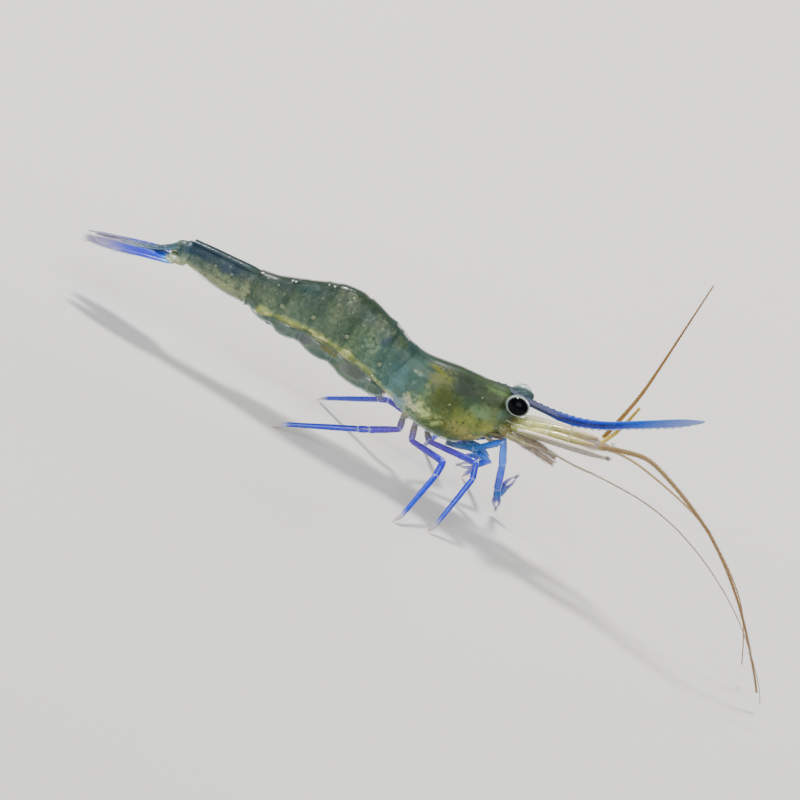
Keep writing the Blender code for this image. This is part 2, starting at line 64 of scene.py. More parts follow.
def unit(vectors):
    return vectors / np.linalg.norm(vectors, axis=-1, keepdims=True)


def circle(count):
    return np.linspace(0, 2 * math.pi, count, endpoint=False)


def camel(node):
    first, *others = node.split("_")
    return first + "".join(word.capitalize() for word in others)


def nodesOf(label):
    return sorted(name for name in nodes if name.startswith(label))


# reading the frame

def nodeBmesh(name):
    bm = bmesh.new()
    bm.from_mesh(nodes[name].data)
    for v in bm.verts:
        v.co = (v.co - home) / mm
    bmesh.ops.remove_doubles(bm, verts=bm.verts, dist=0.002)
    bm.verts.index_update()
    bm.normal_update()
    return bm


def rayTree(names):
    points, faces = [], []
    for name in names:
        bm = nodeBmesh(name)
        first = len(points)
        points += [v.co.copy() for v in bm.verts]
        faces += [[first + v.index for v in f.verts] for f in bm.faces]
        bm.free()
    return BVHTree.FromPolygons(points, faces)


def hit(tree, start, direction, axis):
    found = tree.ray_cast(Vector(start), Vector(direction))[0]
    return None if found is None else found[axis]


def curveThrough(points):
    # smooth function through (place, value) pairs, held level past both ends
    points = sorted(points)
    xs = np.array([p[0] for p in points], float)
    ys = np.array([p[1] for p in points], float)
    slopes = np.gradient(ys, xs)
    fine = np.linspace(xs[0], xs[-1], 1200)
    i = np.clip(np.searchsorted(xs, fine) - 1, 0, len(xs) - 2)
    span = xs[i + 1] - xs[i]
    t = (fine - xs[i]) / span
    values = (1 + 2 * t) * (1 - t) ** 2 * ys[i] + t * (1 - t) ** 2 * slopes[i] * span
    values += t * t * (3 - 2 * t) * ys[i + 1] - t * t * (1 - t) * slopes[i + 1] * span
    return lambda x: np.interp(x, fine, values)


def tubeRings(name, ringSides, near):
    # centres and radii of a tube's rings, from the end that is nearer to the body
    bm = nodeBmesh(name)
    seen = set()
    for face in bm.faces:
        if face in seen:
            continue
        seen.add(face)
        flat, stack = {face}, [face]
        while stack:
            for edge in stack.pop().edges:
                for other in edge.link_faces:
                    if other not in seen and other.normal.dot(face.normal) > 0.99995:
                        seen.add(other)
                        flat.add(other)
                        stack.append(other)
        layer = {v for f in flat for v in f.verts}
        if len(layer) != ringSides:
            continue
        done, rings = set(layer), []
        while layer and len(layer) == ringSides:
            corners = [v.co.copy() for v in sorted(layer, key=lambda v: v.index)]
            centre = sum(corners, Vector()) / ringSides
            radius = sum((c - centre).length for c in corners) / ringSides
            rings.append((centre, radius, corners))
            layer = {e.other_vert(v) for v in layer for e in v.link_edges} - done
            done |= layer
        if len(done) == len(bm.verts) and not layer:
            bm.free()
            near = Vector(near)
            if (rings[0][0] - near).length > (rings[-1][0] - near).length:
                rings.reverse()
            return rings
    raise RuntimeError("no rings found in " + name)


def limbJoints(name, ringSides=8, near=(4.5, 0.0, 4.0)):
    # root, knuckles and tip of a jointed limb
    rings = tubeRings(name, ringSides, near)
    joints = [rings[0][:2]]
    for i in range(1, len(rings) - 2):
        before, here, after = rings[i - 1], rings[i], rings[i + 1]
        if here[1] > 1.03 * before[1] and here[1] > 1.03 * after[1]:
            joints.append(here[:2])
        elif abs(here[1] - after[1]) < 0.002:
            incoming = here[0] - before[0]
            outgoing = rings[i + 2][0] - after[0]
            if incoming.angle(outgoing) > 1.8:
                a, b = geometry.intersect_line_line(before[0], here[0], after[0], rings[i + 2][0])
                joints.append((0.5 * (a + b), here[1]))
    joints.append(rings[-1][:2])
    return joints


trunkNodes = ["carapace"] + [f"abdomen_{i}" for i in range(1, 7)]
trunkTree = rayTree(trunkNodes)
trunkScan = {
    # first and last place, step, height of the flank that is measured, share of the half width at
    # which a side flap is felt from below, and the jump in mm past which a reading is dropped
    "tail": -10.7, "head": 7.61, "step": 0.15, "flank": 3.6, "flap": 0.8, "jump": 0.22,
}


def measureTrunk(style):
    # back, half width, lower hem and belly as functions of x
    rows = []
    for x in np.arange(style["tail"], style["head"], style["step"]):
        top = hit(trunkTree, (x, 0.01, 30.0), (0, 0, -1), 2)
        if top is None:
            continue
        heights = np.arange(top - style["flank"], top - 0.2, style["step"])
        reach = [hit(trunkTree, (x, 10.0, z), (0, -1, 0), 1) for z in heights]
        wide = max([y for y in reach if y is not None], default=0.0)
        roof = hit(trunkTree, (x, 0.01, -5.0), (0, 0, 1), 2)
        flap = hit(trunkTree, (x, style["flap"] * wide, -5.0), (0, 0, 1), 2)
        if wide and roof is not None and flap is not None:
            rows.append((x, top, wide, min(roof, flap), roof))
    kept = []
    for i, row in enumerate(rows):
        around = rows[max(i - 2, 0):i + 3]
        middle = np.array([sorted(r[k] for r in around)[len(around) // 2] for k in range(1, 5)])
        if np.abs(np.array(row[1:]) - middle).max() < style["jump"]:
            kept.append(row)
    table = np.array(kept)
    smooth = table.copy()
    smooth[1:-1, 1:] = 0.25 * table[:-2, 1:] + 0.5 * table[1:-1, 1:] + 0.25 * table[2:, 1:]
    return [curveThrough(list(zip(smooth[:, 0], smooth[:, k]))) for k in (1, 2, 3, 4)]


measuredBack, widthAt, hemAt, bellyAt = measureTrunk(trunkScan)
# the back is filled up a little in the dip ahead of the first segment: place, half length, height
backFill = {"at": 0.55, "reach": 0.5, "height": 0.22}


def backAt(x):
    away = (np.asarray(x) - backFill["at"]) / backFill["reach"]
    return measuredBack(x) + backFill["height"] * np.exp(-away ** 2)


tailEnd = (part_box("abdomen_6")[0].x - home.x) / mm
# height of the widest line, how far the flank is tucked in at the hem, and the share of the half
# girth that is roof
sectionStyle = {"waist": 0.44, "tuck": 0.86, "roof": 0.6}


def sectionPoint(x, v, tube):
    # y and z of the trunk's outline at x; v runs from the left hem at 1 over the back at 0 to -1
    top, wide, bottom = backAt(x), widthAt(x), hemAt(x)
    a = np.abs(v)
    if tube:
        z = 0.5 * (top + bottom) + 0.5 * (top - bottom) * np.cos(math.pi * a)
        return np.sign(v) * wide * np.sin(math.pi * a), z
    waist = bottom + sectionStyle["waist"] * (top - bottom)
    upper = fade(a, 0.0, sectionStyle["roof"]) * 0.5 * math.pi
    drop = fade(a, sectionStyle["roof"], 1.0)
    y = wide * np.sin(upper) * (1 - (1 - sectionStyle["tuck"]) * drop ** 2)
    roof, flank = waist + (top - waist) * np.cos(upper), waist + (bottom - waist) * drop
    z = np.where(a < sectionStyle["roof"], roof, flank)
    return np.sign(v) * y, z


def edgeLine(name, side):
    # x of a plate's rear (side -1) or front (side 1) edge as a function of z
    tree = rayTree([name])
    low, high = (np.array(corner - home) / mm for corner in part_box(name))
    middle = 0.5 * (low[0] + high[0])
    points = []
    for z in np.linspace(low[2] + 0.12, high[2] - 0.1, 14):
        reach = hit(tree, (middle, 10.0, z), (0, -1, 0), 1)
        if reach is None:
            continue
        y = 0.1 if z > bellyAt(middle) + 0.3 else min(0.8 * widthAt(middle), 0.85 * reach)
        x = hit(tree, (side * 40.0, y, z), (-side, 0, 0), 0)
        if x is not None and z < measuredBack(x) - 0.16:
            points.append((z, x))
    fit = np.polyfit(*np.array(points).T, 4 if name == "carapace" else 2)
    return lambda z: np.polyval(fit, np.clip(z, points[0][0], points[-1][0]))


print("trunk measured")


# making meshes

def addPiece(name, points, faces, material, values, places=None, sharp=50.0):
    # points in mm from home; values are named numbers per point, places lie on the map OFBake
    points = np.asarray(points, float) * mm + np.array(home)
    mesh = bpy.data.meshes.new(name)
    mesh.from_pydata(points.tolist(), [], faces)
    mesh.validate()
    bm = bmesh.new()
    bm.from_mesh(mesh)
    bmesh.ops.recalc_face_normals(bm, faces=bm.faces)
    bm.to_mesh(mesh)
    bm.free()
    for key, numbers in values.items():
        attribute = mesh.attributes.new(key, "FLOAT", "POINT")
        attribute.data.foreach_set("value", np.asarray(numbers, np.float32))
    if places is not None:
        corners = np.zeros(len(mesh.loops), np.int32)
        mesh.loops.foreach_get("vertex_index", corners)
        layer = mesh.uv_layers.new(name="OFBake")
        layer.data.foreach_set("uv", np.asarray(places, np.float32)[corners].ravel())
    mesh.shade_smooth()
    mesh.set_sharp_from_angle(angle=math.radians(sharp))
    piece = bpy.data.objects.new(name, mesh)
    bpy.context.scene.collection.objects.link(piece)
    mesh.materials.append(material)
    return piece


def gridFaces(rows, columns, wrap, first=0, flip=False):
    faces = []
    for i in range(rows - 1):
        for k in range(columns if wrap else columns - 1):
            a = first + i * columns + k
            b = first + i * columns + (k + 1) % columns
            quad = (a, b, b + columns, a + columns)
            faces.append(quad[::-1] if flip else quad)
    return faces


def capFaces(rows, columns, first=0):
    # triangles from the two points after a grid to its first and last ring
    faces, last = [], first + (rows - 1) * columns
    for k in range(columns):
        faces.append((first + rows * columns, first + (k + 1) % columns, first + k))
        faces.append((first + rows * columns + 1, last + k, last + (k + 1) % columns))
    return faces


def gridNormals(grid, wrap):
    around = np.roll(grid, -1, 1) - np.roll(grid, 1, 1) if wrap else np.gradient(grid, axis=1)
    normals = np.cross(np.gradient(grid, axis=0), around)
    return normals / np.maximum(np.linalg.norm(normals, axis=2, keepdims=True), 1e-9)


def thinShell(name, outer, thickness, material, values, outward, wrap=False):
    # closed wall: the outer grid, the same grid one thickness inside, and strips round the rim
    rows, columns = outer.shape[:2]
    inner = outer - gridNormals(outer, wrap) * outward * np.atleast_1d(thickness)[..., None]
    count = rows * columns
    faces = gridFaces(rows, columns, wrap) + gridFaces(rows, columns, wrap, count, True)
    last = (rows - 1) * columns
    if wrap:
        loops = [[i + k for k in [*range(columns), 0]] for i in (0, last)]
    else:
        loops = [[*range(columns), *range(2 * columns - 1, last + columns, columns),
                  *range(last + columns - 2, last - 1, -1), *range(last - columns, -1, -columns)]]
    for loop in loops:
        faces += [(a, b, b + count, a + count) for a, b in zip(loop, loop[1:])]
    points = np.concatenate([outer.reshape(-1, 3), inner.reshape(-1, 3)])
    doubled = {key: np.tile(np.asarray(v).ravel(), 2) for key, v in values.items()}
    return addPiece(name, points, faces, material, doubled)


def closedTube(name, rings, material, values, sharp=50.0):
    # solid skin through rings of equal point count, closed by a point at each end
    rows, columns = rings.shape[:2]
    faces = gridFaces(rows, columns, True) + capFaces(rows, columns)
    points = list(rings.reshape(-1, 3)) + [rings[0].mean(0), rings[-1].mean(0)]
    ended = {}
    for key, v in values.items():
        v = np.asarray(v, float)
        v = np.repeat(v[:, None], columns, 1) if v.ndim == 1 else v
        ended[key] = np.concatenate([v.ravel(), [v[0].mean(), v[-1].mean()]])
    return addPiece(name, points, faces, material, ended, sharp=sharp)


def travelFrames(points):
    # tangents and two cross directions carried along a path without twist
    tangents = unit(np.gradient(np.asarray(points, float), axis=0))
    first = np.cross(tangents[0], (0.0, 0.0, 1.0))
    if np.linalg.norm(first) < 0.2:
        first = np.cross(tangents[0], (0.0, 1.0, 0.0))
    across = [unit(first)]
    for b in tangents[1:]:
        across.append(unit(across[-1] - b * np.dot(across[-1], b)))
    across = np.array(across)
    return tangents, across, np.cross(across, tangents)


def ovalRings(path, wide, deep, across, up, columns):
    # rings round a path; wide and deep are the two half sizes at each point
    turn = circle(columns)[None, :, None]
    wide, deep = (np.asarray(size, float)[:, None, None] for size in (wide, deep))
    path, across, up = (np.asarray(line)[:, None, :] for line in (path, across, up))
    return path + wide * np.cos(turn) * across + deep * np.sin(turn) * up


def tubeGrid(points, wide, deep=None, columns=12):
    _, across, up = travelFrames(points)
    return ovalRings(points, wide, wide if deep is None else deep, across, up, columns)


def pathLength(points):
    steps = np.linalg.norm(np.diff(points, axis=0), axis=1)
    return np.concatenate([[0.0], np.cumsum(steps)])


def evenPath(points, count, rounds=2):
    # the same path with softened corners and even steps
    points = np.asarray(points, float)
    for _ in range(rounds):
        a = 0.75 * points[:-1] + 0.25 * points[1:]
        b = 0.25 * points[:-1] + 0.75 * points[1:]
        points = np.concatenate([points[:1], np.stack([a, b], 1).reshape(-1, 3), points[-1:]])
    run = pathLength(points)
    places = np.linspace(0, run[-1], count)
    return np.stack([np.interp(places, run, points[:, k]) for k in range(3)], 1)


def hairPiece(name, hairs, material, rings=3, hairSides=3):
    # many fine bristles as one closed mesh each; a hair is root, direction, length, radius, bend, map place
    points, faces, places, along = [], [], [], []
    for root, direction, length, radius, bend, place in hairs:
        direction, bend, root = unit(np.asarray(direction, float)), np.asarray(bend), np.asarray(root)
        side = unit(np.cross(direction, (0.31, 0.52, 0.79)))
        other = np.cross(direction, side)
        first = len(points)
        for i in range(rings):
            t = i / rings
            centre = root + direction * length * t + bend * length * t * t
            for angle in circle(hairSides):
                c, s = math.cos(angle), math.sin(angle)
                points.append(centre + radius * (1 - 0.75 * t) * (c * side + s * other))
                places.append((place[0] + 0.0013 * c, place[1] + 0.0013 * s))
                along.append(t)
        points.append(root + direction * length + bend * length)
        places.append(place)
        along.append(1.0)
        faces += gridFaces(rings, hairSides, True, first)
        tip = len(points) - 1
        for k in range(hairSides):
            faces.append((tip - hairSides + k, tip - hairSides + (k + 1) % hairSides, tip))
        faces.append([first + k for k in range(hairSides)][::-1])
    return addPiece(name, points, faces, material, {"along": along}, places)


def finishPiece(piece, slotName, *replaced):
    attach(piece, "root")
    if replaced:
        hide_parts(*replaced)
    return piece


# shader helpers: each adds its node to the tree that newMaterial or newGroup opened last
paintStyle = {"richer": 1.38, "dark": 0.74, "bright": 0.40}
bench = {"tree": None}


def paint(red, green, blue):
    # a colour as it should look on screen, 0 to 255, as the darker and richer colour a shader
    # needs to look so under the studio light
    linear = np.array([((value / 255.0 + 0.055) / 1.055) ** 2.4 for value in (red, green, blue)])
    grey = float(linear @ (0.25, 0.6, 0.15))
    linear = np.maximum(grey + paintStyle["richer"] * (linear - grey), 0.0)
    linear *= paintStyle["dark"] + paintStyle["bright"] * grey
    return (*[float(value) for value in linear], 1.0)


def asColour(value):
    # three numbers are a colour on screen, four are the shader's own, and one is a grey
    if isinstance(value, tuple):
        return paint(*value) if len(value) == 3 else value
    return value if isinstance(value, Field) else (value, value, value, 1.0)


class Field:
    # a number or colour that changes over the surface; + - * / and abs add the nodes for them
    def __init__(self, socket):
        self.socket = socket

    def __add__(self, other):
        return calc("ADD", self, other)

    def __radd__(self, other):
        return calc("ADD", other, self)

    def __sub__(self, other):
        return calc("SUBTRACT", self, other)

    def __rsub__(self, other):
        return calc("SUBTRACT", other, self)

    def __mul__(self, other):
        return calc("MULTIPLY", self, other)

    def __truediv__(self, other):
        return calc("DIVIDE", self, other)

    def __abs__(self):
        return calc("ABSOLUTE", self)


def put(kind, inputs=None, output=0, **settings):
    # a node with its settings and inputs; gives one of its outputs
    node = bench["tree"].nodes.new("ShaderNode" + kind)
    for key, value in settings.items():
        setattr(node, key, value)
    for key, value in (inputs or {}).items():
        feed(node.inputs[key], value)
    return Field(node.outputs[output])


def feed(socket, value):
    if isinstance(value, Field):
        bench["tree"].links.new(value.socket, socket)
    else:
        socket.default_value = value


def calc(operation, *inputs, clamp=False):
    return put("Math", dict(enumerate(inputs)), operation=operation, use_clamp=clamp)


def most(a, b, clamp=False):
    return calc("MAXIMUM", a, b, clamp=clamp)


def sine(value):
    return calc("SINE", value)


def remap(value, low, high, toLow=0.0, toHigh=1.0, smooth=True):
    inputs = dict(enumerate((value, low, high, toLow, toHigh)))
    return put("MapRange", inputs, interpolation_type="SMOOTHSTEP" if smooth else "LINEAR", clamp=True)


def over(below, above, share, mode="MIX"):
    inputs = {0: share, 6: asColour(below), 7: asColour(above)}
    return put("Mix", inputs, 2, data_type="RGBA", blend_type=mode, clamp_factor=True)


def ramp(value, stops):
    result = put("ValToRGB", {0: value})
    elements = result.socket.node.color_ramp.elements
    while len(elements) < len(stops):
        elements.new(0.5)
    for element, (place, colour) in zip(elements, stops):
        element.position = place
        element.color = asColour(colour)
    return result


def named(key):
    return put("Attribute", output="Fac", attribute_name=key)


def split(vector):
    node = put("SeparateXYZ", {0: vector}).socket.node
    return [Field(socket) for socket in node.outputs]


def noisy(vector, scale, detail=3.0, rough=0.55):
    return put("TexNoise", {"Vector": vector, "Scale": scale, "Detail": detail, "Roughness": rough}, "Fac")


def newGroup(name, inputs, outputs):
    # opens a group; gives it, its inputs as fields by name, and its output sockets
    group = bpy.data.node_groups.new(name, "ShaderNodeTree")
    for label, value in inputs.items():
        kind = "Vector" if isinstance(value, tuple) else "Float"
        socket = group.interface.new_socket(name=label, in_out="INPUT", socket_type="NodeSocket" + kind)
        socket.default_value = value
    for label, kind in outputs.items():
        group.interface.new_socket(name=label, in_out="OUTPUT", socket_type="NodeSocket" + kind)
    bench["tree"] = group
    given = {socket.name: Field(socket) for socket in group.nodes.new("NodeGroupInput").outputs}
    return group, given, group.nodes.new("NodeGroupOutput").inputs


def useGroup(group, **given):
    node = put("Group", node_tree=group).socket.node
    for key, value in given.items():
        feed(node.inputs[key], value)
    return {socket.name: Field(socket) for socket in node.outputs}


def makePlaceGroup():
    # millimetres from home; Mirrored folds the right side onto the left, so both carry one pattern
    group, _, result = newGroup("place", {}, {"Place": "Vector", "Mirrored": "Vector"})
    where = put("TexCoord", output="Object")
    away = put("VectorMath", {0: where, 1: tuple(home)}, operation="SUBTRACT")
    place = put("VectorMath", {0: away, "Scale": 1.0 / mm}, operation="SCALE")
    x, y, z = split(place)
    feed(result["Place"], place)
    feed(result["Mirrored"], put("CombineXYZ", {0: x, 1: abs(y), 2: z}))
    return group


def makePatchGroup():
    # soft-edged blot round a centre, with its outline broken by noise
    nowhere, one = (0.0, 0.0, 0.0), (1.0, 1.0, 1.0)
    inputs = {"Place": nowhere, "Centre": nowhere, "Size": one, "Soft": 0.5, "Ragged": 0.3, "Grain": 3.0}
    group, given, result = newGroup("softPatch", inputs, {"Mask": "Float"})
    away = put("VectorMath", {0: given["Place"], 1: given["Centre"]}, operation="SUBTRACT")
    away = put("VectorMath", {0: away, 1: given["Size"]}, operation="DIVIDE")
    distance = put("VectorMath", {0: away}, "Value", operation="LENGTH")
    distance = distance + (noisy(given["Place"], given["Grain"]) - 0.5) * (given["Ragged"] * 4.0)
    feed(result["Mask"], remap(distance, 1.0 - given["Soft"], 1.0 + given["Soft"], 1.0, 0.0))
    return group


def makeSpeckGroup():
    # scattered round pigment cells
    inputs = {"Place": (0.0, 0.0, 0.0), "PerMm": 4.0, "Radius": 0.2, "Amount": 0.5}
    group, given, result = newGroup("specks", inputs, {"Mask": "Float"})
    distance = put("TexVoronoi", {"Vector": given["Place"], "Scale": given["PerMm"]}, "Distance")
    chance, bigness, _ = split(Field(distance.socket.node.outputs["Color"]))
    size = given["Radius"] * (0.5 + bigness)
    shown = calc("LESS_THAN", chance, given["Amount"])
    feed(result["Mask"], remap(distance, size * 0.6, size, 1.0, 0.0) * shown)
    return group


def makeMottleGroup():
    # cloudy tone at two sizes, and fine grain for the height of a bump
    inputs = {"Place": (0.0, 0.0, 0.0), "Broad": 1.5, "Fine": 9.0}
    group, given, result = newGroup("mottle", inputs, {"Cloud": "Float", "Grain": "Float"})
    fine = noisy(given["Place"], given["Fine"], 4.0, 0.6)
    cloud = noisy(given["Place"], given["Broad"]) * 0.65 + fine * 0.35
    feed(result["Cloud"], remap(cloud, 0.34, 0.66))
    feed(result["Grain"], fine)
    return group


placeGroup = makePlaceGroup()
patchGroup = makePatchGroup()
speckGroup = makeSpeckGroup()
mottleGroup = makeMottleGroup()


def newMaterial(name, **settings):
    material = bpy.data.materials.new(name)
    material.use_nodes = True
    bench["tree"] = material.node_tree
    shader = material.node_tree.nodes["Principled BSDF"]
    for key, value in settings.items():
        shader.inputs[key.replace("_", " ")].default_value = value
    return material, shader


def dress(shader, rough=None, bump=None, **fields):
    # fields feed the sockets they are named after; rough is the grain with the smoothest and the
    # roughest value; bump is the height with its strength and its depth in mm
    for key, value in fields.items():
        feed(shader.inputs[key.replace("_", " ")], value)
    if rough:
        feed(shader.inputs["Roughness"], remap(rough[0], 0.3, 0.7, *rough[1:]))
    if bump:
        inputs = {"Strength": bump[1], "Distance": bump[2] * mm, "Height": bump[0]}
        feed(shader.inputs["Normal"], put("Bump", inputs))


def alongBody(x, tones):
    # colours at their places along the body
    tail, head = -10.75, 7.6
    share = remap(x, tail, head, smooth=False)
    return ramp(share, [((place - tail) / (head - tail), tone) for place, tone in tones])


print("shader groups made")


# soft body: muscle of the abdomen, organs, face, mouth lobes and eyestalks as one skin
softBodyStyle = {
    # depth under the shell in mm, of the body and of the last segment
    "inset": 0.072, "tailInset": 0.062,
    # where it is pinched between the segments, and by how much in mm
    "joints": (0.70, -1.50, -3.42, -5.10, -6.74), "jointPinch": 0.055,
    # how far its underside stays above the thorax and goes below the belly line, in mm
    "keelRise": 0.06, "bellyDrop": 0.50,
    # rings along the body, points in a ring, and the size of the skin's faces in mm
    "rings": 220, "ringPoints": 64, "skinStep": 0.048,
    "lobes": [
        # centre x, y, z; half sizes x, y, z; y is mirrored where it is not 0
        (7.10, 0.0, 5.50, 0.86, 0.74, 0.84), (7.56, 0.82, 5.24, 0.42, 0.26, 0.28),
        (7.66, 0.40, 5.44, 0.34, 0.30, 0.30), (7.58, 0.0, 4.78, 0.30, 0.20, 0.26),
        (7.30, 0.30, 4.84, 0.32, 0.17, 0.30), (6.95, 0.34, 4.58, 0.42, 0.13, 0.22),
        (6.62, 0.40, 4.36, 0.42, 0.15, 0.20), (7.46, 0.42, 6.42, 0.16, 0.16, 0.14),
        (7.55, 0.0, 6.22, 0.22, 0.24, 0.20), (-10.60, 0.0, 4.70, 0.34, 0.66, 0.62),
        (-10.78, 0.0, 4.80, 0.50, 0.42, 0.40), (-10.82, 0.44, 4.24, 0.50, 0.38, 0.19),
        (-11.12, 0.78, 4.10, 0.26, 0.20, 0.10),
    ],
    "tones": [(-10.6, (108, 122, 116)), (-8.6, (146, 150, 122)), (-6.0, (138, 148, 122)),
              (-4.4, (126, 139, 116)), (-2.6, (116, 132, 107)), (-0.6, (118, 136, 108)),
              (1.2, (124, 150, 136)), (2.7, (108, 132, 118)), (3.8, (112, 124, 82)), (6.0, (124, 136, 92)),
              (7.4, (112, 118, 86))],
    "organs": [
        # centre x, z; half sizes x, z; softness, raggedness; colour; strength
        (1.75, 4.85, 0.62, 0.75, 0.8, 0.75, (138, 172, 180), 0.8),
        (2.5, 5.2, 0.55, 0.90, 0.5, 0.30, (92, 118, 114), 0.85),
        (2.2, 6.1, 0.40, 0.50, 0.5, 0.40, (84, 116, 104), 0.7),
        (0.35, 6.15, 0.26, 0.36, 0.6, 0.7, (44, 58, 88), 0.8),
        (0.62, 4.55, 0.30, 0.10, 0.6, 0.6, (176, 196, 156), 0.7),
        (-1.15, 4.95, 0.26, 0.08, 0.6, 0.6, (176, 196, 156), 0.7),
        (0.95, 6.35, 0.34, 0.30, 0.6, 0.7, (108, 116, 70), 0.7),
        (1.15, 5.5, 0.40, 0.60, 0.6, 0.50, (60, 84, 80), 0.65),
        (2.60, 5.60, 0.13, 0.07, 0.9, 1.3, (180, 200, 188), 0.7),
        (2.45, 5.10, 0.10, 0.10, 0.9, 1.3, (170, 194, 180), 0.6),
        (3.20, 5.35, 0.12, 0.10, 0.9, 1.3, (194, 204, 170), 0.6),
        (3.05, 4.60, 0.30, 0.10, 0.8, 1.2, (190, 206, 162), 0.7),
        (-1.2, 6.9, 0.5, 0.4, 0.6, 0.35, (58, 82, 82), 0.6),
        (-6.92, 5.25, 0.20, 0.20, 0.5, 0.3, (48, 54, 44), 0.75),
        (-5.10, 5.42, 0.20, 0.20, 0.5, 0.3, (52, 62, 52), 0.75),
        (-1.55, 5.75, 0.16, 0.20, 0.5, 0.3, (48, 64, 52), 0.7),
        (0.50, 5.30, 0.16, 0.30, 0.5, 0.4, (52, 68, 58), 0.6),
        (-1.65, 6.0, 0.09, 0.5, 0.5, 0.5, (52, 70, 60), 0.5),
        (-3.0, 5.4, 0.30, 0.7, 0.6, 0.4, (84, 102, 92), 0.5),
        (-3.6, 6.0, 0.5, 0.5, 0.6, 0.4, (106, 104, 104), 0.5),
        (4.7, 4.7, 1.3, 0.9, 0.8, 1.0, (116, 126, 74), 0.9),
        (3.85, 5.45, 0.50, 0.42, 0.9, 1.2, (130, 130, 46), 0.9),
        (3.50, 5.95, 0.52, 0.38, 0.8, 1.1, (136, 138, 44), 0.95),
        (4.35, 5.15, 0.66, 0.66, 0.6, 0.6, (86, 88, 24), 0.95),
        (4.7, 6.35, 0.50, 0.42, 0.5, 0.40, (38, 48, 30), 1.0),
        (5.3, 6.12, 1.00, 0.52, 0.5, 0.40, (30, 42, 30), 1.0),
        (6.3, 6.26, 0.80, 0.30, 0.4, 0.35, (46, 60, 26), 1.0),
        (5.5, 5.6, 0.5, 0.35, 0.5, 0.5, (66, 86, 72), 0.9),
        (6.15, 5.45, 0.52, 0.38, 0.5, 0.4, (142, 164, 130), 0.95),
        (6.0, 4.75, 0.95, 0.45, 0.6, 0.7, (152, 158, 98), 0.9),
        (6.6, 4.9, 0.45, 0.35, 0.5, 0.5, (166, 168, 104), 0.8),
        (5.7, 3.95, 0.9, 0.40, 0.7, 0.7, (196, 186, 132), 0.95),
        (4.5, 3.95, 0.5, 0.3, 0.5, 0.5, (96, 102, 46), 0.9),
        (3.55, 3.98, 0.60, 0.34, 0.8, 1.3, (232, 242, 180), 0.9),
        (2.85, 3.92, 0.42, 0.30, 0.7, 1.2, (255, 255, 214), 1.0),
        (2.1, 3.68, 0.45, 0.34, 0.7, 0.8, (176, 208, 228), 0.95),
        (6.2, 6.78, 0.9, 0.16, 0.5, 0.4, (130, 154, 108), 0.9),
        (7.75, 5.3, 0.30, 0.5, 0.5, 0.4, (128, 122, 84), 0.8),
        (7.15, 5.85, 0.30, 0.26, 0.7, 0.5, (124, 148, 134), 0.8),
    ],
}


def softBodyGrid(style):
    # rings of the muscle and gut from tail to head, with the lower and upper end of each
    tail, front, tailShare = tailEnd + 0.09, 7.2, -6.6
    # the rings stand closer at both ends, where the skin turns in
    middleRings = np.linspace(tailEnd + 0.3, front, style["rings"])
    tailRings, headRings = np.linspace(tail, tailEnd + 0.3, 8)[:-1], np.linspace(front, 7.5, 10)[1:]
    xs = np.concatenate([tailRings, middleRings, headRings])
    keelTree = rayTree(["thorax"])
    keel = [(x, hit(keelTree, (x, 0.01, -5.0), (0, 0, 1), 2)) for x in np.arange(2.0, 7.0, 0.2)]
    keel = [(x, low + style["keelRise"]) for x, low in keel if low is not None]
    behind = [(0.2, float(bellyAt(0.2)) - style["bellyDrop"]), (1.4, 3.62)]
    keelAt = curveThrough(behind + keel + [(7.0, 4.3), (7.5, 5.2)])
    points, edges = [], []
    for x in xs:
        ends = min(1.0, math.sqrt(max(0.0, (x - tail + 0.01) / 0.16)), math.sqrt(max(0.0, (7.52 - x) / 0.4)))
        pinch = sum(math.exp(-((x - joint) / 0.2) ** 2) for joint in style["joints"])
        inset = (style["inset"] if x > -6.8 else style["tailInset"]) + style["jointPinch"] * pinch
        top, wide, hem = float(backAt(x)) - inset, float(widthAt(x)) - inset, float(hemAt(x))
        bottom, power, level = hem + 0.08, 2.0, 0.5 * (top + hem + 0.08)
        if x >= tailShare:
            share = fade(x, tailShare, -6.0)
            low = float(keelAt(x)) if x > 0.2 else float(bellyAt(x)) - style["bellyDrop"]
            bottom = bottom * (1 - share) + low * share
            power = 2.0 + 0.9 * share * fade(x, 1.6, 0.0)
            level = hem + sectionStyle["waist"] * (top - hem)
        level = max(level, bottom + 0.42 * (top - bottom))
        middle = 0.5 * (top + bottom)
        ring = []
        for a in circle(style["ringPoints"]):
            c, s = math.cos(a), math.sin(a)
            n = 2.0 if c > 0 else power
            y = wide * math.copysign(abs(s) ** (2.0 / n), s)
            z = level + (top - level if c > 0 else level - bottom) * math.copysign(abs(c) ** (2.0 / n), c)
            y += 0.02 * noise.noise(Vector((1.7 * x, 3.1 * s, 2.0 * c)))
            ring.append((x, y * ends, middle + (z - middle) * ends))
        points.append(ring)
        edges.append((x, bottom, top))
    return np.array(points), np.array(edges)


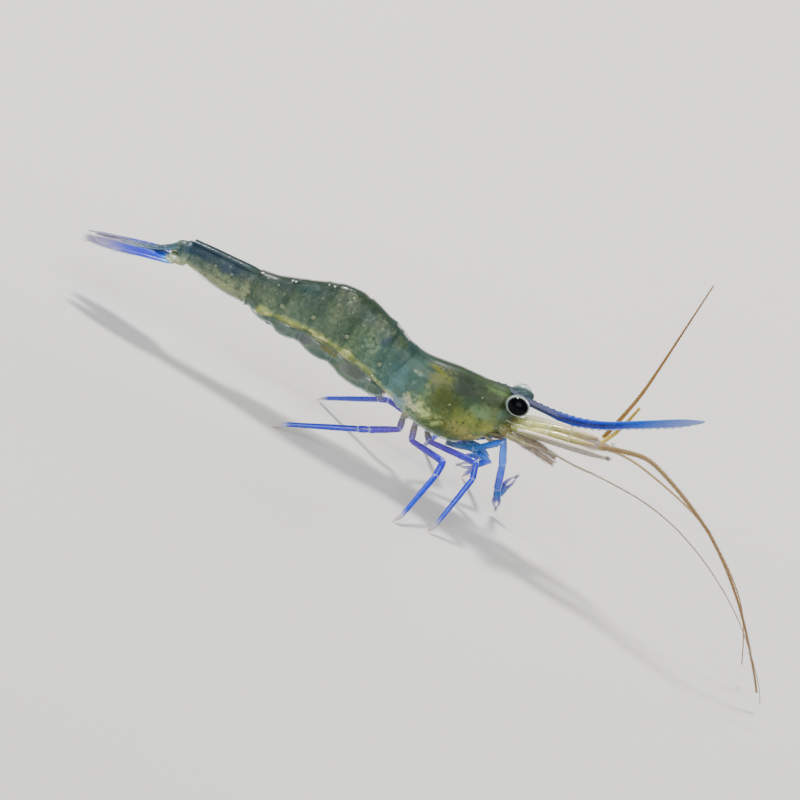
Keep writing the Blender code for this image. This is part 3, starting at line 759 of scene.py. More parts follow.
def joinedSkin(grids, step):
    # one closed skin over several overlapping closed grids
    mesh = bpy.data.meshes.new("parts")
    points, faces = [], []
    for grid in grids:
        rows, columns = grid.shape[:2]
        first = len(points)
        points += grid.reshape(-1, 3).tolist() + [grid[0].mean(0).tolist(), grid[-1].mean(0).tolist()]
        faces += gridFaces(rows, columns, True, first) + capFaces(rows, columns, first)
    mesh.from_pydata(points, [], faces)
    holder = bpy.data.objects.new("parts", mesh)
    bpy.context.scene.collection.objects.link(holder)
    remesh = holder.modifiers.new("skin", "REMESH")
    remesh.mode = "VOXEL"
    remesh.voxel_size = step
    smooth = holder.modifiers.new("smooth", "SMOOTH")
    smooth.factor = 0.5
    smooth.iterations = 3
    result = holder.evaluated_get(bpy.context.evaluated_depsgraph_get()).to_mesh()
    skin = np.array([tuple(v.co) for v in result.vertices])
    skinFaces = [tuple(p.vertices) for p in result.polygons]
    bpy.data.objects.remove(holder)
    bpy.data.meshes.remove(mesh)
    return skin, skinFaces


def ballGrid(centre, radius, axis, rings, columns):
    # rings of points from the pole on the axis to the far pole, with their angles from the axis
    axis = Vector(axis).normalized()
    side = axis.cross(Vector((0, 0, 1))).normalized()
    up = side.cross(axis)
    angles, turns = np.meshgrid(math.pi * (np.arange(rings) + 0.5) / rings, circle(columns), indexing="ij")
    spokes = np.cos(turns)[..., None] * np.array(side) + np.sin(turns)[..., None] * np.array(up)
    points = np.cos(angles)[..., None] * np.array(axis) + np.sin(angles)[..., None] * spokes
    return np.array(centre) + radius * points, angles


def eyeBall(side):
    low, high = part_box("eye_" + side.lower())
    return (0.5 * (low + high) - home) / mm, 0.5 * (high.x - low.x) / mm


stalkStyle = {
    # how far the root goes into the head and the tip into the eye, as shares, then the half
    # thickness at the root, its gain towards the eye and its most, in mm
    "sunk": 0.35, "reach": 0.80, "root": 0.20, "gain": 0.20, "most": 0.44, "rings": 26, "columns": 20,
}


def stalkGrid(side, style):
    root = np.array(tubeRings("eyestalk_" + side.lower(), 10, near=(7.0, 0.0, 6.4))[0][0])
    centre = np.array(eyeBall(side)[0])
    root = root - style["sunk"] * (centre - root)
    share = np.linspace(0, 1, style["rings"])
    path = root + (centre - root) * style["reach"] * share[:, None]
    radii = style["root"] + 0.05 * np.sin(share * 5.0) + style["gain"] * fade(share, 0.35, 0.85) ** 1.3
    return tubeGrid(path, np.minimum(radii, style["most"]), columns=style["columns"])


def softBodyMaterial(style):
    material, shader = newMaterial(
        "softBody", Roughness=0.42, Coat_Weight=0.08, Coat_Roughness=0.2, Subsurface_Weight=0.2,
        Subsurface_Scale=0.12 * mm, IOR=1.38)
    shader.inputs["Subsurface Radius"].default_value = (1.0, 0.9, 0.6)
    place = useGroup(placeGroup)["Mirrored"]
    x, y, z = split(place)
    height = named("height")
    mottle = useGroup(mottleGroup, Place=place, Broad=1.1, Fine=6.0)
    colour = alongBody(x, style["tones"])
    # painted shade and light by height: lighter low down, much darker towards the back, less so at the front
    # of the carapace
    shade = ramp(height, [(0.0, 1.5), (0.28, 1.55), (0.5, 1.3), (0.7, 0.94), (0.86, 0.52), (1.0, 0.26)])
    colour = over(colour, shade, remap(x, 5.2, 6.4, 1.0, 0.5), "MULTIPLY")
    # cloudy areas of teal and of violet brown
    wide = noisy(place, 0.75, 2.0)
    colour = over(colour, (84, 112, 108), remap(wide, 0.52, 0.64, 0.0, 0.5))
    colour = over(colour, (112, 108, 96), remap(wide, 0.46, 0.36, 0.0, 0.5))
    # muscle blocks: slanted light and dark bands in each segment
    slant = x * 2.1 + z * 0.55
    wobble = noisy(place, 0.9, 2.0)
    slant = slant + wobble * 3.2
    inAbdomen = remap(x, 1.2, 2.4, 1.0, 0.0)
    for pace, low, dark, light in ((2.6, 0.0, 0.28, 0.20), (6.1, 0.0, 0.24, 0.16)):
        bands = sine(slant * pace)
        colour = over(colour, (56, 80, 74), remap(bands, low, 1.0, 0.0, dark) * inAbdomen)
        colour = over(colour, (150, 160, 126), remap(bands, 0.1, -1.0, 0.0, light) * inAbdomen)
    colour = over(colour, (56, 76, 66), remap(mottle["Cloud"], 0.5, 1.0, 0.0, 0.5) * inAbdomen)
    # fine stipple
    stipple = noisy(place, 4.6, 5.0, 0.72)
    colour = over(colour, (0.5, 0.56, 0.52, 1.0), remap(stipple, 0.5, 0.66, 0.0, 0.9), "MULTIPLY")
    colour = over(colour, (184, 200, 168), remap(stipple, 0.46, 0.3, 0.0, 0.6))
    # thin pale and dark curls between the muscles
    for pace, mask, tone, strength in ((1.7, 2.3, (176, 194, 166), 0.6), (1.3, 1.9, (44, 62, 56), 0.6)):
        drift = abs(noisy(place, pace, 1.5) - 0.5)
        curl = remap(drift, 0.008, 0.022, strength, 0.0) * remap(noisy(place, mask, 1.0), 0.5, 0.58)
        colour = over(colour, tone, curl * inAbdomen)
    # organs
    for cx, cz, sx, sz, soft, ragged, tone, strength in style["organs"]:
        patch = useGroup(patchGroup, Place=place, Centre=(cx, 0.6, cz), Size=(sx, 30.0, sz), Soft=soft,
                         Ragged=ragged, Grain=2.2)
        colour = over(colour, tone, patch["Mask"] * strength)
    front = remap(x, 0.4, 1.6)
    fine = noisy(place, 4.2, 4.0, 0.7)
    colour = over(colour, (0.42, 0.46, 0.4, 1.0), remap(fine, 0.5, 0.66, 0.0, 0.8) * front, "MULTIPLY")
    lowFront = front * remap(height, 0.62, 0.42)
    colour = over(colour, (176, 180, 120), remap(fine, 0.46, 0.34, 0.0, 0.45) * lowFront)
    # yellow line along the lower edge of the muscle, broken into one streak a segment
    streaks = noisy(place, 1.5, 2.0)
    uneven = (noisy(place, 1.5, 5.0, 0.7) - 0.5) * 1.3
    level = named("aboveBelly") + (uneven + 0.5)
    line = ramp(level, [(0.0, 0.9), (0.38, 0.9), (0.48, 0.55), (0.66, 0.0)])
    along = remap(x, -6.5, -6.1) * remap(x, 1.7, 2.2, 1.0, 0.0)
    line = line * along * remap(streaks, 0.4, 0.56, 0.45, 0.95)
    colour = over(colour, over((218, 222, 112), (206, 214, 150), remap(stipple, 0.44, 0.58)), line)
    crest = ramp(level, [(0.22, 0.0), (0.3, 1.0), (0.36, 1.0), (0.46, 0.0)])
    crest = crest * along * remap(noisy(place, 2.6, 2.0), 0.5, 0.58)
    colour = over(colour, (252, 252, 200), crest * 0.9)
    # pale underside, a blue tail and a dark line along the back
    under = remap(x, -6.9, -7.4) * remap(height, 0.4, 0.05)
    colour = over(colour, (190, 196, 158), under * 0.45)
    tailBlue = remap(x, -6.8, -8.4) * remap(height + (wide - 0.5) * 0.5, 0.5, 0.7)
    tailBlue = tailBlue * remap(x, -10.9, -10.5, 0.2, 0.9)
    colour = over(colour, over((52, 78, 92), (30, 48, 84), remap(stipple, 0.4, 0.56)), tailBlue)
    upperTeal = remap(x, -2.6, -4.0) * remap(height, 0.72, 0.88)
    colour = over(colour, (56, 80, 86), upperTeal * 0.7)
    backLine = remap(y, 0.26, 0.08) * remap(height, 0.8, 0.95)
    colour = over(colour, (34, 48, 38), backLine * 0.8)
    # pigment cells
    dark = useGroup(speckGroup, Place=place, PerMm=3.4, Radius=0.24, Amount=0.34)
    colour = over(colour, (50, 48, 26), dark["Mask"] * remap(x, 2.6, 4.0, 0.16, 0.75))
    light = useGroup(speckGroup, Place=place, PerMm=3.1, Radius=0.2, Amount=0.22)
    colour = over(colour, (222, 234, 200), light["Mask"] * 0.55)
    grain = mottle["Grain"]
    dress(shader, (grain, 0.34, 0.54), (grain, 0.5, 0.03), Base_Color=colour)
    return material


bodyGrid, bodyEdges = softBodyGrid(softBodyStyle)
softGrids = [bodyGrid] + [stalkGrid(side, stalkStyle) for side in sides]
for cx, cy, cz, sx, sy, sz in softBodyStyle["lobes"]:
    for sign in ((1.0, -1.0) if cy else (1.0,)):
        ball = ballGrid((0, 0, 0), 1.0, (1, 0, 0), 14, 22)[0]
        softGrids.append(ball * (sx, sy, sz) + (cx, sign * cy, cz))
for number in range(1, 6):
    for side in sides:
        # the lump of muscle over each leg
        root, radius = limbJoints(f"leg_{number}_{side.lower()}")[0]
        softGrids.append(ballGrid(root + Vector((0.0, 0.0, 0.72)), 1.35 * radius, (1, 0, 0), 12, 18)[0])
skinPoints, skinFaces = joinedSkin(softGrids, softBodyStyle["skinStep"])
skinLow, skinHigh = (np.interp(skinPoints[:, 0], bodyEdges[:, 0], bodyEdges[:, k]) for k in (1, 2))
skinHeights = fade(skinPoints[:, 2], skinLow, skinHigh)
skinValues = {"height": skinHeights, "aboveBelly": skinPoints[:, 2] - bellyAt(skinPoints[:, 0])}
fleshFinish = softBodyMaterial(softBodyStyle)
softBody = addPiece("softBody", skinPoints, skinFaces, fleshFinish, skinValues, sharp=80.0)
finishPiece(softBody, "flesh", "thorax", "eyestalk_left", "eyestalk_right")
print("soft body made,", len(skinFaces), "faces")


# shell plates
shellStyle = {
    # thickness of the plates and how far they reach under and over each other, in mm
    "thickness": 0.055,
    "lap": 0.13,
    # rise of the rear lip, how deep the front edge is tucked under, and the wave of the surface, in mm
    "lipRise": 0.02, "tuck": 0.07, "firstTuck": 0.02, "waveHeight": 0.012, "wavePace": 9.0,
    # the ridge over the carapace: height and half width
    "crest": 0.10, "crestWide": 0.10,
    "carapaceLaps": (-0.06, 0.12),
    # how high the corners of each segment's hem are rounded up, and how far its sides spread ahead
    # and behind, in mm
    "cornerLift": (0.0, 0.13, 0.08, 0.10, 0.14, 0.18, 0.0),
    "sideSpread": ((0, 0), (0, 0), (0.27, 0.20), (0.10, 0.10), (0.12, 0.12), (0.12, 0.36), (0.40, 0.0)),
    "tones": [(-10.6, (62, 90, 106)), (-8.6, (116, 126, 112)), (-4.4, (102, 120, 106)),
              (-1.0, (104, 122, 102)), (1.5, (106, 136, 132)), (3.0, (108, 132, 112)), (5.0, (92, 112, 76)),
              (7.4, (112, 130, 96))],
    # how solid the clear part, the side plates and the rims are
    "glassy": 0.26, "sidePlates": 0.86, "rimSolid": 0.8,
    "windows": [
        # centre x and z, half sizes x and z, colour
        (-5.0, 4.06, 0.66, 0.20, (72, 86, 84)), (-3.40, 4.20, 0.60, 0.30, (82, 80, 92)),
        (-1.90, 4.32, 0.56, 0.22, (102, 94, 54)), (-0.35, 4.02, 0.70, 0.32, (82, 80, 84)),
        (1.0, 3.70, 0.50, 0.20, (78, 98, 88)),
    ],
}


def shellMaterial(style):
    material, shader = newMaterial(
        "shell", Roughness=0.2, Coat_Roughness=0.06, IOR=1.24, Specular_IOR_Level=0.36)
    place = useGroup(placeGroup)["Mirrored"]
    x, y, _ = split(place)
    height = named("height")
    rim = named("rim")
    hem = named("hem")
    mottle = useGroup(mottleGroup, Place=place, Broad=1.8, Fine=8.0)
    colour = alongBody(x, style["tones"])
    colour = over(colour, (66, 86, 80), mottle["Cloud"] * 0.5)
    low = named("skirt")
    inAbdomen = remap(x, 1.4, 2.2, 1.0, 0.0)
    # side plates: slate green, cloudy
    sideTone = over((82, 100, 92), (112, 112, 82), remap(noisy(place, 0.9, 1.0), 0.48, 0.62, 0.0, 0.4))
    sideTone = over(sideTone, (132, 148, 148), remap(noisy(place, 2.4, 3.0), 0.56, 0.7, 0.0, 0.5))
    colour = over(colour, sideTone, low * (inAbdomen * 0.9))
    pale = remap(rim, 0.1, 0.015)
    paleHem = remap(hem, 0.16, 0.02) * remap(noisy(place, 1.4, 2.0), 0.36, 0.6, 0.35, 0.9)
    edge = most(pale * remap(height, 0.5, 0.2, 0.0, 0.16), paleHem)
    # dim window in each side plate, with a pale line round it
    for wx, wz, sx, sz, tone in style["windows"]:
        blot = {"Place": place, "Centre": (wx, 0.6, wz), "Soft": 0.34, "Ragged": 0.26, "Grain": 2.4}
        wide = useGroup(patchGroup, **blot, Size=(1.1 * sx, 30.0, 1.3 * sz))["Mask"]
        inner = useGroup(patchGroup, **blot, Size=(sx, 30.0, sz))["Mask"]
        colour = over(colour, (146, 162, 146), wide * (low * 0.5))
        colour = over(colour, tone, inner * (low * 0.7))
    colour = over(colour, (186, 200, 196), edge)
    rise = height + (mottle["Cloud"] - 0.5) * 0.3
    tailBlue = remap(x, -6.6, -7.8, 0.0, 0.7) * remap(rise, 0.6, 0.84)
    colour = over(colour, (54, 78, 98), tailBlue)
    # painted shade: the shell darker towards the top of the back, less so at the front of the carapace
    roof = ramp(height, [(0.0, 1.0), (0.62, 1.0), (0.8, 0.74), (0.92, 0.5), (1.0, 0.46)])
    colour = over(colour, roof, remap(x, 5.2, 6.4, 1.0, 0.5), "MULTIPLY")
    backLine = remap(y, 0.2, 0.05) * remap(height, 0.8, 0.95)
    colour = over(colour, (36, 46, 36), backLine * 0.5)
    specks = useGroup(speckGroup, Place=place, PerMm=4.0, Radius=0.17, Amount=0.25)
    colour = over(colour, over((44, 62, 66), (92, 70, 34), remap(x, 2.6, 4.0)), specks["Mask"] * 0.85)
    clear = remap(x, 1.8, 3.2, style["glassy"], 0.6 * style["glassy"])
    # clearer over the yellow line, solid below it
    fromLine = abs(named("aboveBelly") + 0.06)
    overLine = 1.0 - remap(fromLine, 0.14, 0.34, 0.65, 0.0) * inAbdomen
    clear = clear * overLine
    alpha = over(clear, (style["sidePlates"],) * 3 + (1.0,), low)
    alpha = alpha + (mottle["Cloud"] - 0.5) * 0.12
    alpha = most(alpha, edge * style["rimSolid"])
    alpha = most(alpha, specks["Mask"] * 0.7)
    ridge = height + remap(x, -6.6, -7.2, 0.0, 0.05)
    ridge = remap(ridge, 0.935, 0.985) * remap(x, -6.6, -7.2, 0.6, 0.95)
    alpha = most(alpha, ridge)
    grazing = remap(put("LayerWeight", {"Blend": 0.5}, "Facing"), 0.6, 1.0, 0.0, 0.7)
    alpha = most(alpha, grazing)
    alpha = most(alpha, backLine * 0.6, clamp=True)
    shine = remap(mottle["Grain"], 0.3, 0.7, 0.14, 0.28) + remap(x, 3.3, 4.6, 0.0, 0.26)
    gloss = remap(x, -7.2, -6.6, 0.02, 0.12) * remap(x, 3.3, 4.4, 1.0, 0.4)
    wetStreak = remap(x, 1.8, 2.4, 0.0, 0.6) * remap(x, 3.4, 4.0, 1.0, 0.0)
    bump = (mottle["Grain"], 0.4, 0.02)
    dress(shader, None, bump, Base_Color=colour, Alpha=alpha, Roughness=shine, Coat_Weight=gloss + wetStreak)
    return material


def plateGrid(lines, laps, style, spread=(0.0, 0.0), steps=34, half=34, tube=False, corner=0.0, crest=0.0):
    # grid over one plate: rows from its front edge to its rear edge, columns from hem to hem
    front, rear = lines
    vs = np.linspace(-1, 1, 2 * half + 1)[:-1 if tube else None]
    u, v = np.meshgrid(np.linspace(0, 1, steps + 1), vs, indexing="ij")
    depth = np.abs(v)
    midHeight = 5.4
    x = front(midHeight) * (1 - u) + rear(midHeight) * u
    fan = fade(depth, 0.55, 1.0) ** 1.2
    for _ in range(3):
        z = sectionPoint(x, v, tube)[1]
        ahead = front(z) + laps[0] + fan * spread[0]
        behind = rear(z) - laps[1] - fan * spread[1]
        x = ahead * (1 - u) + behind * u
    y, z = sectionPoint(x, v, tube)
    if not tube:
        # the hem is round at its corners
        z = z + (corner * np.abs(2 * u - 1) ** 2.6 - (0.10 if corner else 0.0)) * depth ** 5
    z = z + crest * np.exp(-(y / style["crestWide"]) ** 2) * fade(x, 5.0, 6.5)
    top, bottom = backAt(x), hemAt(x)
    height = fade(z, bottom, top)
    hem = np.full(u.shape, 9.0) if tube else (1 - depth) * (top - bottom) * 1.25
    rim = np.minimum((1 - u) * np.abs(ahead - behind), hem)
    aboveBelly = z - bellyAt(np.maximum(x, -6.3))
    # the skirt is the part of a plate below the muscle, with an arched upper edge
    arch = sum(np.exp(-((x - window[0]) / (0.75 * window[2])) ** 2) for window in style["windows"])
    low = (-0.28 + 0.16 * arch - aboveBelly) / 0.10
    skirt = np.where(x < 1.6, low, 0.25 * fade(height, 0.14, 0.04))
    skirt = np.maximum(skirt, fade(x, -6.1, -6.4) * fade(depth, 0.72, 0.82))
    skirt = np.clip(skirt, 0.0, 0.0 if tube else 1.0)
    values = {"height": height, "rim": rim, "hem": hem, "skirt": skirt, "aboveBelly": aboveBelly}
    return np.stack([x, y, z], 2), u, v, values


def makePlate(name, node, parts, style, tuck, tube=False, sidesOut=0.0):
    # sidesOut lifts the front corners over the plate ahead instead of under it
    grid, u, v, values = parts
    normals = gridNormals(grid, tube)
    outward = 1.0 if normals[:, grid.shape[1] // 2, 2].mean() > 0 else -1.0
    lip = style["lipRise"] * fade(u, 0.72, 1.0) ** 2
    under = tuck * fade(u, 0.20, 0.0) ** 1.5 * (1 - 2.0 * sidesOut * fade(np.abs(v), 0.5, 0.7))
    wave = style["waveHeight"] * np.sin(u * style["wavePace"] + 2.0 * np.abs(v)) * np.sin(np.pi * u)
    grid = grid + normals * outward * (lip - under + wave)[..., None]
    piece = thinShell(name, grid, style["thickness"], shellFinish, values, outward, tube)
    finishPiece(piece, "shell", node)


shellFinish = shellMaterial(shellStyle)
plateLines = {name: (edgeLine(name, 1), edgeLine(name, -1)) for name in trunkNodes}
for i in range(1, 7):
    node, tube, lap = f"abdomen_{i}", i == 6, shellStyle["lap"]
    parts = plateGrid(plateLines[node], (lap, 0.0 if tube else lap), shellStyle, shellStyle["sideSpread"][i],
                      tube=tube, corner=shellStyle["cornerLift"][i])
    tuck = shellStyle["firstTuck" if i == 1 else "tuck"]
    makePlate(f"somiteShell{i}", node, parts, shellStyle, tuck, tube, 1.0 if i == 2 else 0.0)
parts = plateGrid(plateLines["carapace"], shellStyle["carapaceLaps"], shellStyle, steps=120, half=44,
                  crest=shellStyle["crest"])
makePlate("carapaceShell", "carapace", parts, shellStyle, 0.0)
print("shell plates made")


# limbs

def limbGrid(joints, style, claw):
    # rings along a jointed limb: full along each length, flared at its far end, pinched at the knuckle
    centres = [np.array(j[0]) for j in joints]
    last = len(centres) - 1
    runs = [unit(b - a) for a, b in zip(centres, centres[1:])]
    full = [t * joints[min(i, last)][1] for i, t in enumerate(style["thick"])]
    points, radii, knees = [centres[0]], [full[0]], [0.0]
    lead = 0.0
    for i in range(last):
        length = np.linalg.norm(centres[i + 1] - centres[i])
        reach = 0.0
        if i < last - 1:
            bend = math.acos(max(-1.0, min(1.0, float(np.dot(runs[i], runs[i + 1])))))
            reach = min(0.05 + 1.05 * full[i + 1] * math.tan(min(0.5 * bend, 0.95)), 0.42 * length)
        steps = max(4, int(length / style["step"]))
        for t in [k / steps for k in range(steps + 1)]:
            place = lead + (length - reach - lead) * t
            swell = 0.80 + 0.20 * math.sin(math.pi * min(1.0, 0.15 + 0.75 * t)) + 0.16 * t ** 6
            knee = min(place, length - place)
            if i == last - 1:
                if claw:
                    swell = swell * (1 - t) + style["tip"] * t
                else:
                    swell = (1 - t ** 1.4) * (1 - style["tip"]) + style["tip"]
                knee = place if i else length - place
            elif i == 0:
                knee = length - place
            points.append(centres[i] + runs[i] * place)
            radii.append((full[i] * (1 - t) + full[i + 1] * t) * swell)
            knees.append(knee)
        if i < last - 1:
            points.append(centres[i + 1])
            radii.append(0.80 * full[i + 1])
            knees.append(0.0)
            lead = reach
    points, radii, knees = np.array(points), np.array(radii), np.array(knees)
    keep = np.concatenate([[True], np.linalg.norm(np.diff(points, axis=0), axis=1) > 0.008])
    points, radii, knees = points[keep], radii[keep], knees[keep]
    run = pathLength(points)
    grid = tubeGrid(points, radii, radii * style["flat"], style["columns"])
    return grid, points, radii, {"along": run / run[-1], "knee": knees}


def limbMaterial(name, stops, knee, pale):
    material, shader = newMaterial(
        name, Coat_Weight=0.6, Coat_Roughness=0.08, IOR=1.42, Subsurface_Weight=0.15,
        Subsurface_Scale=0.2 * mm)
    place = useGroup(placeGroup)["Place"]
    along, near = named("along"), named("knee")
    mottle = useGroup(mottleGroup, Place=place, Broad=3.0, Fine=14.0)
    colour = ramp(along, stops)
    shade = over((0.74, 0.74, 0.78, 1.0), (1.14, 1.12, 1.1, 1.0), mottle["Cloud"])
    colour = over(colour, shade, 1.0, "MULTIPLY")
    # scattered cells and pale knees
    dots = useGroup(speckGroup, Place=place, PerMm=7.0, Radius=0.2, Amount=0.3)
    colour = over(colour, pale, dots["Mask"] * 0.3)
    colour = over(colour, pale, remap(near, 0.08, 0.0) * knee)
    grain = mottle["Grain"]
    dress(shader, (grain, 0.22, 0.38), (grain, 0.4, 0.015), Base_Color=colour)
    return material


walkingLegStyle = {
    "thick": [0.95, 0.80, 0.70, 0.72, 0.70, 0.58, 0.34],
    "tip": 0.12, "flat": 0.9, "columns": 14, "step": 0.14,
    "stops": [(0.0, (164, 164, 130)), (0.10, (134, 130, 128)), (0.18, (104, 84, 172)),
              (0.30, (92, 76, 190)), (0.45, (62, 62, 192)), (0.62, (40, 70, 204)), (0.88, (52, 78, 204)),
              (0.94, (190, 186, 196)), (1.0, (214, 196, 176))],
}
clawLegStyle = {
    "thick": [0.9, 0.8, 0.78, 0.84, 0.90, 0.96, 0.92, 0.9],
    "tip": 0.9, "flat": 0.9, "columns": 14, "step": 0.12,
    # the light blue at 0.55 of the run is partly the claw legs' own colour and partly a painted highlight
    "stops": [(0.0, (130, 140, 110)), (0.10, (96, 110, 140)), (0.25, (58, 104, 160)),
              (0.42, (62, 110, 200)), (0.55, (110, 150, 236)), (0.70, (84, 96, 216)),
              (0.80, (60, 104, 176)), (0.86, (110, 104, 176)), (0.93, (170, 168, 206)),
              (1.0, (224, 226, 230))],
}
legFinish = limbMaterial("legShell", walkingLegStyle["stops"], 0.45, (176, 190, 236))
clawFinish = limbMaterial("clawLegShell", clawLegStyle["stops"], 0.28, (176, 200, 236))
fingerStyle = {
    # share of the colour run that starts at the fingers, how far they start back and reach out as
    # shares of the claw, half gap and bow in mm, half thickness and how much of it goes to the tip
    "colourFrom": 0.84, "back": 0.12, "reach": 1.10, "gap": 0.10, "bow": 0.07, "thick": 0.115, "taper": 0.72,
    "rings": 22, "flat": 0.8, "knee": 0.3,
}
# the top length of each leg inside the body: its start from the first joint in mm, and its thickness
hipStyle = {"ahead": 0.05, "inward": 0.1, "up": 0.62, "thick": 1.25}
limbTips, clawTips = {}, {}


def makeFingers(name, node, root, tip, finish, style):
    way = np.array(tip - root)
    away = np.array((tip - root).normalized().cross(Vector((0.0, 1.0, 0.0))).normalized())
    t = np.linspace(0, 1, style["rings"])
    for finger, lean in (("Fixed", -1.0), ("Moving", 1.0)):
        apart = lean * (style["gap"] + style["bow"] * (np.sin(math.pi * t) - t))
        line = np.array(root) + way * (style["reach"] * t - style["back"])[:, None] + away * apart[:, None]
        size = style["thick"] * (1 - style["taper"] * t ** 1.6)
        values = {"along": style["colourFrom"] * (1 - t) + t, "knee": np.full(len(t), style["knee"])}
        grid = tubeGrid(line, size, style["flat"] * size)
        piece = closedTube(name + finger + "Finger", grid, finish, values)
        finishPiece(piece, "claw_leg", node)
    clawTips[node] = (np.array(tip), unit(way))


for number in range(1, 6):
    claw = number < 3
    style, finish = (clawLegStyle, clawFinish) if claw else (walkingLegStyle, legFinish)
    for side, sign in sides.items():
        node = f"leg_{number}_{side.lower()}"
        joints = limbJoints(node)
        root, rootRadius = joints[0]
        hip = root + Vector((hipStyle["ahead"], -hipStyle["inward"] * sign, hipStyle["up"]))
        joints.insert(0, (hip, hipStyle["thick"] * rootRadius))
        thick = style["thick"][:len(joints) - 1] + style["thick"][-1:]
        tip = joints[-1][0]
        if claw:
            joints, thick = joints[:-1], thick[:-1]
        grid, path, radii, values = limbGrid(joints, dict(style, thick=thick), claw)
        if claw:
            values["along"] = fingerStyle["colourFrom"] * values["along"]
        piece = closedTube(f"leg{number}{side}", grid, finish, values)
        finishPiece(piece, "claw_leg" if claw else "leg", node)
        limbTips[node] = (path, radii)
        if claw:
            makeFingers(f"leg{number}{side}", node, joints[-1][0], tip, finish, fingerStyle)
print("legs made")


# head limbs: antennules, antenna bases and maxillipeds
headLimbStyle = {
    "antennule": {"thick": [0.95, 0.92, 0.86, 0.80, 0.74], "tip": 0.8, "flat": 0.85, "columns": 16,
                  "step": 0.12},
    "antenna_base": {"thick": [0.85, 0.66, 0.50], "tip": 0.5, "flat": 0.85, "columns": 16, "step": 0.10},
    "maxilliped": {"thick": [0.8, 0.85, 0.95, 1.7], "tip": 0.8, "flat": 0.8, "columns": 14, "step": 0.12},
}
paleFinish = limbMaterial(
    "headLimbShell",
    [(0.0, (160, 168, 118)), (0.25, (206, 206, 150)), (0.5, (186, 184, 132)), (0.72, (188, 180, 132)),
     (1.0, (172, 154, 122))],
    0.35, (236, 236, 216))
baseFinish = limbMaterial(
    "antennaBaseShell",
    [(0.0, (142, 142, 104)), (0.4, (150, 142, 112)), (1.0, (136, 126, 108))], 0.3, (206, 200, 176))
maxillipedFinish = limbMaterial(
    "maxillipedShell",
    [(0.0, (124, 122, 92)), (0.5, (156, 144, 130)), (1.0, (158, 140, 128))], 0.3, (206, 198, 190))
headLimbFinishes = {"antennule": paleFinish, "antenna_base": baseFinish, "maxilliped": maxillipedFinish}
for label, style in headLimbStyle.items():
    for side in sides:
        node = f"{label}_{side.lower()}"
        grid, path, radii, values = limbGrid(limbJoints(node), style, True)
        finishPiece(closedTube(camel(node), grid, headLimbFinishes[label], values), "pale_limb", node)
        limbTips[node] = (path, radii)


# feelers
feelerRings = {"pace": 52.0, "apart": 0.03}
feelerStyle = {
    # root and tip radius in mm, depth of the ring joints, colours at the root and the tip
    "antennule_outer_feeler_right": (0.135, 0.045, 0.16, (166, 146, 112), (146, 112, 76)),
    "antennule_inner_feeler_right": (0.075, 0.025, 0.10, (206, 190, 150), (172, 136, 92)),
    "antennule_outer_feeler_left": (0.125, 0.028, 0.14, (170, 138, 86), (146, 102, 56)),
    "antennule_inner_feeler_left": (0.125, 0.070, 0.14, (220, 204, 132), (200, 172, 100)),
    "antenna_feeler_right": (0.062, 0.020, 0.08, (176, 178, 156), (160, 150, 128)),
    "antenna_feeler_left": (0.062, 0.020, 0.08, (176, 178, 156), (160, 150, 128)),
}


def feelerMaterial(name, rootTone, tipTone):
    material, shader = newMaterial(name, Coat_Weight=0.3, Coat_Roughness=0.15, IOR=1.45)
    place = useGroup(placeGroup)["Place"]
    along, reach = named("along"), named("reach")
    mottle = useGroup(mottleGroup, Place=place, Broad=4.0, Fine=18.0)
    colour = over(rootTone, tipTone, remap(along, 0.0, 0.75, smooth=False))
    colour = over(colour, (0.45, 0.4, 0.36, 1.0), mottle["Cloud"] * 0.35, "MULTIPLY")
    rings = sine(reach * feelerRings["pace"])
    colour = over(colour, (0.3, 0.24, 0.18, 1.0), remap(rings, 0.1, 0.9) * 0.45, "MULTIPLY")
    grain = mottle["Grain"]
    dress(shader, (grain, 0.28, 0.46), (grain, 0.3, 0.01), Base_Color=colour)
    return material


feelerPaths = {}
for label, (rootRadius, tipRadius, ringDepth, rootTone, tipTone) in feelerStyle.items():
    parts = nodesOf(label)
    spine = [ring[0] for part in parts for ring in tubeRings(part, 6, near=(8.0, 0.0, 5.5))]
    length = pathLength(evenPath(spine, 400))[-1]
    path = evenPath(spine, max(60, int(length / feelerRings["apart"])))
    run = pathLength(path)
    share = run / run[-1]
    radii = tipRadius + (rootRadius - tipRadius) * (1 - share) ** 1.25
    beads = 1 + ringDepth * np.sin(run * feelerRings["pace"])
    finish = feelerMaterial(camel(label) + "Shell", rootTone, tipTone)
    grid = tubeGrid(path, radii * beads, columns=8)
    piece = closedTube(camel(label), grid, finish, {"along": share, "reach": run})
    finishPiece(piece, "feeler", *parts)
    feelerPaths[label] = (path, radii)
print("head limbs and feelers made")


# eyes on their stalks
eyeStyle = {
    "outward": {"Left": (-0.20, 0.76, 0.62), "Right": (0.05, -0.95, 0.28)},
    # how far the black and the silver ring go from the middle, as angles; shape along x, y and z
    "blackReach": {"Left": 0.84, "Right": 1.0}, "ringReach": 1.34, "shape": (1.12, 1.0, 0.94),
    # thickness of the clear skin in mm
    "cornea": 0.03,
    # middle of the silver ring, partly the eye's own pale rim and partly painted light from the edge of the
    # clear cornea, and what lies behind it
    "ringTones": {"Left": ((228, 240, 232), (48, 66, 72)), "Right": ((184, 198, 186), (96, 118, 108))},
}


